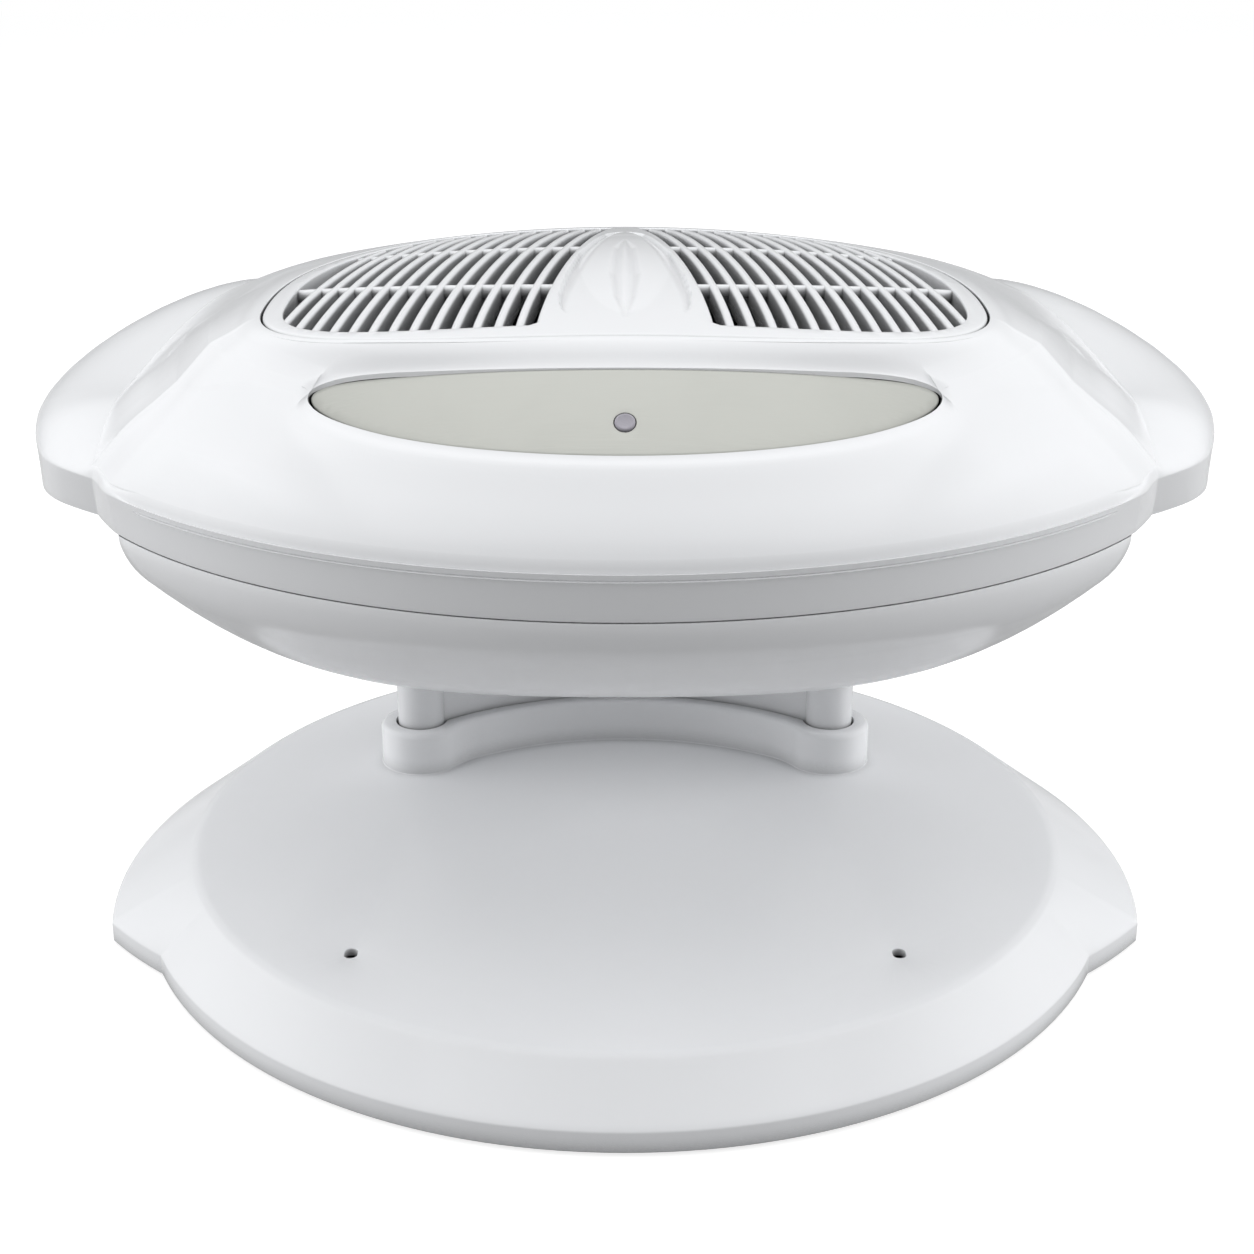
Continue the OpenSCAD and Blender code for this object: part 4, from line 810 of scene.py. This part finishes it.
# %% [markdown]
# ## The column and the tray
# The column is a curved wall between two round posts. The tray's collar is the same outline, grown. So one
# outline, swept through a few heights, makes both, and the collar's foot and lip get their small radii from it.

# %% Column
def bone_rows(steps, blend=lambda g: 0.0):
    """Rows of the outline, from its growth and height at each step."""
    return [at_height(bone(g, blend(g)), z) for g, z in steps]


column_steps = [(-0.5, 24.2), (0, 24.7), (0, 60), (0, 95), (0, 117.2), (-0.5, 117.7)]
# The column wears the white with painted shade
column = new_object("column_shell", *capped(bone_rows(column_steps)), material=shaded_white_column)
place(column, "stand", "gloss_white", "column")

# %% Rules of the tray
base_r, base_notch_a, base_ear_a, base_ear = 156.5, 65.4, 74.5, (9.0, -12.0)
deck_r, deck_z, rim_z, under_z, under_in = 141.0, 21.9, 8.6, 1.2, 2.2


def base_out(a):
    f = fold(a)
    wing = reach((0, 0), heading(f), base_ear, base_r)
    full = reach((0, 0), heading(base_ear_a), base_ear, base_r)
    slope = mix(base_r, full, (f - base_notch_a) / (base_ear_a - base_notch_a))
    return np.where(f <= base_notch_a, base_r, np.where(f <= base_ear_a, slope, np.maximum(base_r, wing)))


def tray_ring(r, z):
    return at_height(np.reshape(r, (-1, 1)) * heading(base_a), z)


base_a = turn_of((0, 60, 2), (60, 80, 0.5), (base_notch_a, base_notch_a, 1), (base_ear_a, base_ear_a, 1), (80, 180, 2))
out = base_out(base_a)
edge_rows = [tray_ring(r, z) for r, z in
             ((out - under_in, under_z), (out, under_z), (out, rim_z - 1), (out - 0.9, rim_z))]
deck_rows = [tray_ring(r, z) for r, z in ((deck_r + 1.2, deck_z - 0.7), (deck_r - 1, deck_z), (137.0, deck_z))]
slope_rows = [mix(edge_rows[-1], deck_rows[0], s) for s in (0.1, 0.25, 0.5, 0.75, 0.92)]
rows = soften(edge_rows + slope_rows + deck_rows, {1: 0.4, 2: 0.5, 3: 0.5, 9: 1.0, 10: 1.0})

# %% Deck: a flat sheet round the collar and the two sensor holes
def loop_edges(start, count):
    return [(start + i, start + (i + 1) % count) for i in range(count)]


def inside(points, loop):
    """Which points lie in a closed outline."""
    x, y = points[:, 0], points[:, 1]
    hit = np.zeros(len(points), bool)
    for (x0, y0), (x1, y1) in zip(loop, np.roll(loop, -1, axis=0)):
        cross = (y0 > y) != (y1 > y)
        with np.errstate(divide="ignore", invalid="ignore"):
            hit ^= cross & (x < (x1 - x0) * (y - y0) / (y1 - y0) + x0)
    return hit


def sheet_between(loops, extra, outline, *holes):
    """Triangles that keep the edges of the loops and lie inside the outline and outside the holes."""
    pts, edges = [], []
    for loop in loops:
        edges += loop_edges(len(pts), len(loop))
        pts += [tuple(p) for p in loop]
    pts += [tuple(p) for p in extra]
    v, _, tris, *_ = geometry.delaunay_2d_cdt([Vector(p) for p in pts], edges, [], 0, 1e-5)
    v = np.array([tuple(p) for p in v])
    tris = np.array([t for t in tris if len(t) == 3])
    middle = v[tris].mean(1)
    kept = inside(middle, outline)
    for hole in holes:
        kept &= ~inside(middle, hole)
    return v, tris[kept]


def hole_outline(side, r):
    """A sensor hole: a short slot with round ends."""
    x, y, turn = side * hole_at[0], hole_at[1], np.linspace(0, math.pi, 14)
    return np.concatenate([arc(x, y + hole_half, r, turn), arc(x, y - hole_half, r, turn + math.pi)])


hole_at, hole_r, hole_half, hole_edge, hole_deep = (80.4, -87.9), 1.9, 0.8, 0.35, 2.4
collar_g, foot_r, lip_r, collar_top = 6, 0.5, 1.8, deck_z + 15
collar_blend = lambda g: 24.0 * float(ramp(g, 1.2, 4.0))
collar_foot = bone(collar_g + foot_r, collar_blend(collar_g + foot_r))
holes = [hole_outline(s, hole_r + hole_edge) for s in (-1, 1)]
deck_loop = rows[-1][:, :2]
v, tris = sheet_between([deck_loop, collar_foot] + holes, [], deck_loop, collar_foot, *holes)
deck = at_height(v, deck_z)
print("deck:", len(tris), "triangles")

# %% Collar and sensor holes, then join the tray
foot = arc(collar_g + foot_r, deck_z + foot_r, -foot_r, quarter(4)[::-1])
lip = arc(collar_g - lip_r, collar_top - lip_r, lip_r, quarter(7))
inner_side = [(2.5, collar_top), (0.9, collar_top), (0.5, collar_top - 0.4), (0.4, 30), (0.4, 24)]
collar = bone_rows([*foot, (collar_g, deck_z + 6), *lip, *inner_side], collar_blend)
hole_steps = [(hole_r + hole_edge, 0), (hole_r + 0.1, 0.1), (hole_r, hole_edge), (hole_r, hole_deep)]
hole_walls = [band([at_height(hole_outline(s, r), deck_z - down) for r, down in hole_steps]) for s in (-1, 1)]
patches = stitched(band(rows), (deck, tris), band(collar), *hole_walls)
tray = new_object("tray_shell", *patches, sharp=crisp, merge=0.01)
give_wall(tray, thickness=1.6, core=(0, 0, -150), sharp=crisp)
place(tray, "stand", "gloss_white", "base_tray")

# %% [markdown]
# ## The grille
# The real grille is one moulding: a smooth border, a smooth ridge down the middle and, on each side, a field of
# thin upright louvres over two crossbars. The border and the ridge are one triangulated sheet that follows the
# dome. The louvres and the crossbars repeat one section along many paths, which is what Geometry Nodes do well:
# each path is a line of points, and one tree sweeps a rounded section along all of them.

# %% Rules of the louvres
grille_gap, slot_border, slot_count, slot_w, slot_from, slot_pitch, slot_lean = 0.9, 5.0, 14, 2.9, 23.7, 5.4, 9.5
bar_at, bar_bow, field_front, field_back = (-80.0, -31.0), 0.0034, -118, 20.0


def slot_x(i, y):
    """Middle of slot i along its length: the slots lean inwards towards the back."""
    return slot_from + slot_pitch * i - slot_lean * (1 + 0.02 * i) * np.maximum(0, (y - field_front) / 86) ** 1.35


def within(x, y, inset, rule=field_line):
    """Positive inside the grille's outline, less an inset."""
    half, (front, back), (front_full, back_full) = rule
    b = np.where(y > grille_y, back, front) - inset
    power = np.where(y > grille_y, back_full, front_full)
    return 1 - (np.abs(x) / (half - inset)) ** power - (np.abs(y - grille_y) / b) ** power


def field_outline(side):
    """Edge of one field of louvres, anticlockwise seen from above on the +X side."""
    border = grille_gap + slot_border
    first_x = lambda y: slot_x(0, y) - slot_w / 2
    y = np.linspace(field_front, field_back, 560)
    inner = np.stack([first_x(y), y], -1)
    inner = inner[within(inner[:, 0], inner[:, 1], border) > 0]
    edge = grille_outline(np.arange(0.5, 180, 0.75), border, field_line)
    edge = edge[(edge[:, 0] > first_x(edge[:, 1]) + 0.6) & (edge[:, 1] < field_back - 0.6)]
    back_x = np.linspace(edge[-1, 0], inner[-1, 0], 30)[1:-1]
    back = np.stack([back_x, np.full_like(back_x, field_back)], -1)
    return np.concatenate([edge, back, inner[::-1][::7]]) * (side, 1)


def grow(loop, d):
    """Moves a closed outline outwards by d."""
    ahead, behind = np.roll(loop, -1, axis=0), np.roll(loop, 1, axis=0)
    t = ahead - behind
    t /= np.linalg.norm(t, axis=1, keepdims=True)
    area = (loop[:, 0] * ahead[:, 1] - ahead[:, 0] * loop[:, 1]).sum()
    return loop + d * np.sign(area) * np.stack([t[:, 1], -t[:, 0]], -1)


fields = [field_outline(s) for s in (-1, 1)]
print("louvre field spans x", fields[1][:, 0].min().round(1), "to", fields[1][:, 0].max().round(1))

# %% Form of the ridge: a low swell, a sickle-shaped hollow round it and a slim eye with a rib
sickle_y = [-106, -102, -97, -88.4, -68.5, -44.3, -19, -9, -3.6, -1.5]
sickle_out = [14.6, 16.0, 16.7, 17.0, 15.4, 12.4, 7.4, 5.6, 2.7, 0]
sickle_in = [14.6, 14.9, 14.8, 14.2, 12.0, 8.5, 4.3, 2.6, 0.4, 0]
eye_y, eye_half = [-110.4, -108, -94, -75, -45, -29], [0, 0.6, 2.9, 4.1, 2.9, 0]
ridge_y, ridge_half, ridge_rise, sickle_depth, eye_depth, rib_rise = 53, 12.4, 1.6, 0.30, 0.17, 0.22


def ridge_height(x, y):
    round_y = np.maximum(1 - ((y + ridge_y) / ridge_y) ** 2, 0)
    w = ridge_half * np.sqrt(round_y) + 1e-6
    x = np.abs(x)
    swell = ridge_rise * round_y * np.maximum(0, 1 - (x / w) ** 2)
    # The sickle is deepest at its outer edge and runs out softly on its inner side
    outer, inner = np.interp(y, sickle_y, sickle_out), np.interp(y, sickle_y, sickle_in)
    size = np.maximum(outer - inner, 0)
    across = (x - inner) / (size + 1e-6)
    hollow = sickle_depth * size * ramp(across, -0.25, 0.8) * (1 - ramp(across, 0.8, 1.12))
    half = np.interp(y, eye_y, eye_half)
    across = x / (half + 1e-6)
    eye = eye_depth * half * (1 - ramp(across, 0.62, 1.1)) * (half > 0.05)
    rib = rib_rise * half * (1 - ramp(across, 0.0, 0.62)) * (half > 0.05)
    return swell - hollow - eye + rib


# %% Border and ridge: one sheet over the dome
def gap_to(points, loop):
    """Shortest distance from each point to a closed outline."""
    best = np.full(len(points), 1e9)
    for o, q in zip(loop, np.roll(loop, -1, axis=0)):
        d = q - o
        t = np.clip(((points - o) @ d) / (d @ d + 1e-12), 0, 1)
        best = np.minimum(best, np.hypot(*(points - o - t[:, None] * d).T))
    return best


def grid(x_span, y_span):
    x, y = np.meshgrid(np.arange(*x_span), np.arange(*y_span))
    return np.stack([x.ravel(), y.ravel()], -1)


edge_gap, edge_r, edge_deep, slot_r, slot_deep = 0.5, 0.9, 6.0, 0.8, 7.5
outline = grille_outline(np.arange(0, 360, 2.0), edge_gap)
loops = [grow(outline, -d) for d in (0, 0.03, 0.12, 0.3, 0.55, 0.9, 1.5)]
loops += [grow(field, d) for field in fields for d in (0, 0.1, 0.3, 0.8)]
# A fine grid over the ridge and a coarse one beside and behind it, both kept off the outlines
fine, coarse = grid((-21, 21.1, 0.42), (-117, 4, 0.8)), grid((-96, 97, 3.0), (-121, 48, 3.0))
coarse = coarse[(np.abs(coarse[:, 0]) > 22) | (coarse[:, 1] > 4)]
extra = np.concatenate([fine, coarse])
clear = within(extra[:, 0], extra[:, 1], edge_gap + 2.4, mouth) > 0
for field in fields:
    clear &= ~inside(extra, grow(field, 1.2))
v, tris = sheet_between(loops, extra[clear], outline, *fields)
edge_drop = lambda near, r: r - np.sqrt(np.maximum(r * r - np.maximum(r - near, 0) ** 2, 0))
to_field = np.minimum(*(gap_to(v, field) for field in fields))
drop = edge_drop(gap_to(v, outline), edge_r) + edge_drop(to_field, slot_r)
cap_at = lambda p: cap_z(polar(p)[1])
sheet = np.c_[v, cap_at(v) + ridge_height(v[:, 0], v[:, 1]) - drop]
walls = [band([np.c_[loop, cap_at(loop) - d] for d in down])
         for loop, down in ((outline, (edge_r, edge_deep)), *((field, (slot_r, slot_deep)) for field in fields))]
surround = new_object("grille_surround", *stitched((sheet, tris), *walls), merge=0.01)
give_wall(surround, thickness=1.1, core=(0, -45, -400))
print("surround:", len(surround.data.polygons), "faces")

# %% A tree that sweeps a rounded section along every path
sweep, si, so = new_group(
    "swept_section", [("Paths", "NodeSocketGeometry", None), ("Width", F, 0.002), ("Height", F, 0.006),
                      ("Round", F, 0.0009), ("Material", "NodeSocketMaterial", None)],
    [("Mesh", "NodeSocketGeometry")], "GeometryNodeTree")
lines = node(sweep, "GeometryNodeMeshToCurve", Mesh=si.outputs["Paths"])
upright = node(sweep, "GeometryNodeSetCurveNormal", dict(mode="Z_UP"), Curve=lines.outputs[0])
section = node(sweep, "GeometryNodeCurvePrimitiveQuadrilateral", dict(mode="RECTANGLE"), Width=si.outputs["Width"],
               Height=si.outputs["Height"])
rounded = node(sweep, "GeometryNodeFilletCurve", dict(mode="POLY"), Curve=section.outputs[0],
               Radius=si.outputs["Round"], Count=3)
swept_mesh = node(sweep, "GeometryNodeCurveToMesh", Curve=upright.outputs[0], Profile_Curve=rounded.outputs[0],
                  Fill_Caps=True)
real = node(sweep, "GeometryNodeRealizeInstances", Geometry=swept_mesh.outputs[0])
dressed_mesh = node(sweep, "GeometryNodeSetMaterial", Geometry=real.outputs[0], Material=si.outputs["Material"])
fill(sweep, so, Mesh=dressed_mesh.outputs[0])


def run_along(name, paths, width, height, rounding, material, sharp=40.0):
    """One plain mesh from paths in mm and a section in mm."""
    points, edges = [], []
    for path in paths:
        edges += [(len(points) + i, len(points) + i + 1) for i in range(len(path) - 1)]
        points += (np.asarray(path) * 0.001).tolist()
    mesh = bpy.data.meshes.new(name)
    mesh.from_pydata(points, edges, [])
    obj = add_object(name, mesh)
    m = obj.modifiers.new("sweep", "NODES")
    m.node_group = sweep
    ids = {item.name: item.identifier for item in sweep.interface.items_tree if item.in_out == "INPUT"}
    m[ids["Width"]], m[ids["Height"]], m[ids["Round"]] = width * 0.001, height * 0.001, rounding * 0.001
    m[ids["Material"]] = material
    return settle(obj, sharp)

# %% Louvres and crossbars
# Width, height and rounding of each section, and how far its top lies below the dome
slat, rod, slat_sink, rod_sink = (2.2, 6.8, 0.95), (3.4, 3.4, 1.4), 0.25, 0.7


def in_field(x, y, inset):
    return (within(x, y, inset) > 0) & (y < field_back + 0.7)


def below_cap(x, y, section, sink):
    return np.stack([x, y, cap_z(np.hypot(x, y - dome_y)) - sink - section[1] / 2], -1)


louvres, bars = [], []
for s in (-1, 1):
    for i in range(slot_count - 1):
        y = np.linspace(field_front, field_back + 0.6, 300)
        x = slot_x(i + 0.5, y)
        ok = in_field(x, y, grille_gap + slot_border - 0.6)
        keep_at = np.linspace(0, ok.sum() - 1, 22).astype(int)
        x, y = x[ok][keep_at], y[ok][keep_at]
        louvres.append(below_cap(s * x, y, slat, slat_sink))
    for start_y in bar_at:
        x = np.linspace(0, 96, 200)
        y = start_y + bar_bow * x * x
        ok = in_field(x, y, grille_gap + slot_border - 0.8) & (x > slot_x(0, y) - slot_w / 2 - 0.8)
        x, y = x[ok][::6], y[ok][::6]
        bars.append(below_cap(s * x, y, rod, rod_sink))
slats = run_along("louvres", louvres, *slat, white)
rods = run_along("crossbars", bars, *rod, white)
print("louvres:", len(louvres), "crossbars:", len(bars))
join_in(surround, slats, rods)
smooth_up_to(surround.data, 35)
place(surround, "stand", "gloss_white", "grille_insert")

# %% [markdown]
# ## The panel and its button
# The panel is a thin brushed metal lens that sits a little below the plastic round it. It is a sheet over the
# same dome rule, with a real hole for the button. The button is turned from one profile with a dished top.

# %% Panel
panel_slope, panel_face, button_r = 38.0, -0.8, 2.5


def lens_plan(q, v, g):
    a = q * (panel_a + g * 60)
    t = panel_t + panel_sag * q * q + v * (panel_half + g) * np.sqrt(np.maximum(1 - q * q, 0))
    r = rim(np.abs(a)) * t
    return axis + r[:, None] * heading(a)


def on_panel(p, n):
    """Points over the plan p at a height n along the panel's own slope."""
    a, d = polar(p)
    f = fold(a)
    tilt = math.radians(panel_slope)
    out = np.c_[math.sin(tilt) * heading(a), np.full(len(p), math.cos(tilt))]
    return np.c_[p, dome_height(f, rim(f), d)] + np.reshape(n, (-1, 1)) * out


def hole_loop(r):
    """Round the button: a circle on the slope, as seen from above."""
    return arc(0, 0, r, whole_turn(48)) * (1, math.cos(math.radians(panel_slope))) + (0, button_at[1])


q = np.sin(np.radians(np.linspace(-89.6, 89.6, 121)))
lens = lambda g: np.concatenate([lens_plan(q, -1.0, g), lens_plan(q[::-1], 1.0, g)])
button_at = dome(np.array([0.0]), np.array([0.79]))[0]
button_hole_r, panel_round, panel_deep = 2.65, 0.5, 2.2
extra = grid((-104, 105, 2.0), (-175, -100, 2.0))
off_button = np.hypot(extra[:, 0], (extra[:, 1] - button_at[1]) * 1.27) > 4.2
extra = extra[inside(extra, lens(-0.014)) & off_button]
outline, hole = lens(0.0), hole_loop(button_hole_r)
loops = [outline, lens(-0.0008), lens(-0.0022), lens(-0.0055), hole, hole_loop(2.8), hole_loop(3.2)]
v, tris = sheet_between(loops, extra, outline, hole)
drop = edge_drop(np.minimum(gap_to(v, outline), gap_to(v, hole) * 1.6), panel_round)
walls = [band([on_panel(loop, panel_face - d) for d in (panel_round, panel_deep)]) for loop in (outline, hole)]
panel = new_object("panel_lens", *stitched((on_panel(v, panel_face - drop), tris), *walls), sharp=35, material=silver,
                   merge=0.01)
give_wall(panel, thickness=0.8, core=(0, -90, 120), sharp=35)
place(panel, "stand", "panel_silver", "control_panel")

# %% Button
# Radius and height of each ring: the stem, the collar that keeps it in, the side and the dished top
profile = [(0, -8), (2.3, -8), (button_r, -7.8), (button_r, -7.6), (3.7, -7.6), (3.7, -6.4), (button_r, -6.4),
           (button_r, -1.0), (2.44, -0.72), (2.28, -0.55), (2.05, -0.5), (1.85, -0.54), (1.5, -0.64), (0.9, -0.73),
           (0, -0.77)]
tilt = math.radians(panel_slope)
turn = whole_turn(56)
rows = [np.stack([r * np.cos(turn), r * np.sin(turn) * math.cos(tilt) - z * math.sin(tilt),
                  r * np.sin(turn) * math.sin(tilt) + z * math.cos(tilt)], -1) + button_at for r, z in profile]
button = new_object("button_cap", *band(rows), sharp=40, material=finishes["button_grey"])
place(button, "button", "button_grey", "power_button")

# %% [markdown]
# ## The stage
# A plain pale floor, a large soft light overhead as in a photo tent, and a camera at the photograph's angle. The
# floor and the world look white to the camera and to reflections only, so the white backdrop adds no light.

# %% World, floor and lights
white_light, horizon, zenith = (1, 1, 1, 1), (0.08, 0.0808, 0.0824, 1), (0.62, 0.625, 0.6299, 1)
floor_half, floor_shade, floor_glow = 4000, 0.38, 0.78
world = bpy.data.worlds.new("tent")
bpy.context.scene.world = world
world.use_nodes = True
wt = world.node_tree
ray = node(wt, "ShaderNodeLightPath")
seen = maths(wt, "MAXIMUM", ray.outputs["Is Camera Ray"], ray.outputs["Is Transmission Ray"])
sky = node(wt, "ShaderNodeSeparateXYZ", i0=node(wt, "ShaderNodeTexCoord").outputs["Generated"])
height = maths(wt, "MULTIPLY", maths(wt, "MAXIMUM", sky.outputs["Z"], 0.0), 1.6, clamp=True)
fill(wt, wt.nodes["Background"], Color=blend(wt, seen, blend(wt, height, horizon, zenith), white_light))

corners = [(x * floor_half, y * floor_half, 0) for x, y in ((-1, -1), (1, -1), (1, 1), (-1, 1))]
paper = bpy.data.materials.new("white_paper")
floor = new_object("floor", corners, [(0, 1, 2, 3)], material=paper)
paper.use_nodes = True
pt = paper.node_tree
matte = fill(pt, pt.nodes["Principled BSDF"], Base_Color=(floor_shade,) * 3 + (1,), Roughness=0.9,
             Specular_IOR_Level=0.0)
glow = maths(pt, "MULTIPLY", node(pt, "ShaderNodeLightPath").outputs["Is Camera Ray"], floor_glow)
lit = node(pt, "ShaderNodeEmission", Color=white_light, Strength=glow)
both = node(pt, "ShaderNodeAddShader", i0=matte.outputs[0], i1=lit.outputs[0])
# Seen from below, the floor is clear, so the underside of the dryer can be looked at too
below = node(pt, "ShaderNodeNewGeometry").outputs["Backfacing"]
one_sided = node(pt, "ShaderNodeMixShader", i0=below, i1=both.outputs[0],
                 i2=node(pt, "ShaderNodeBsdfTransparent").outputs[0])
fill(pt, pt.nodes["Material Output"], Surface=one_sided.outputs[0])


def soft_light(name, at, aim, size, power, seen_in_gloss=True):
    lamp = bpy.data.lights.new(name, "AREA")
    lamp.shape, lamp.size, lamp.size_y, lamp.energy = "RECTANGLE", size[0], size[1], power
    obj = add_object(name, lamp)
    obj.location = at
    obj.rotation_euler = (Vector(aim) - Vector(at)).to_track_quat("-Z", "Y").to_euler()
    obj.visible_glossy = seen_in_gloss


soft_light("tent_top", (0, 0, 1.6), (0, 0.08, 0.05), (2.4, 2.2), 12.7)
for name, side in (("tent_left", -1), ("tent_right", 1)):
    soft_light(name, (1.5 * side, 0, 0.55), (0, 0, 0.06), (1.6, 1), 17, seen_in_gloss=False)

# %% Camera
photo_px, photo_shift, pitch = 1254, 2, 21.01
shot = bpy.data.cameras.new("camera")
shot.lens, shot.sensor_width, shot.sensor_fit, shot.shift_x = 57.42, 36.0, "HORIZONTAL", photo_shift / photo_px
shot.clip_start, shot.clip_end = 0.01, 50
camera = add_object("camera", shot)
camera.location, camera.rotation_euler = (0, -0.6013, 0.3215), (math.radians(90 - pitch), 0, 0)
scene = bpy.context.scene
scene.camera = camera
scene.view_settings.view_transform = "Standard"
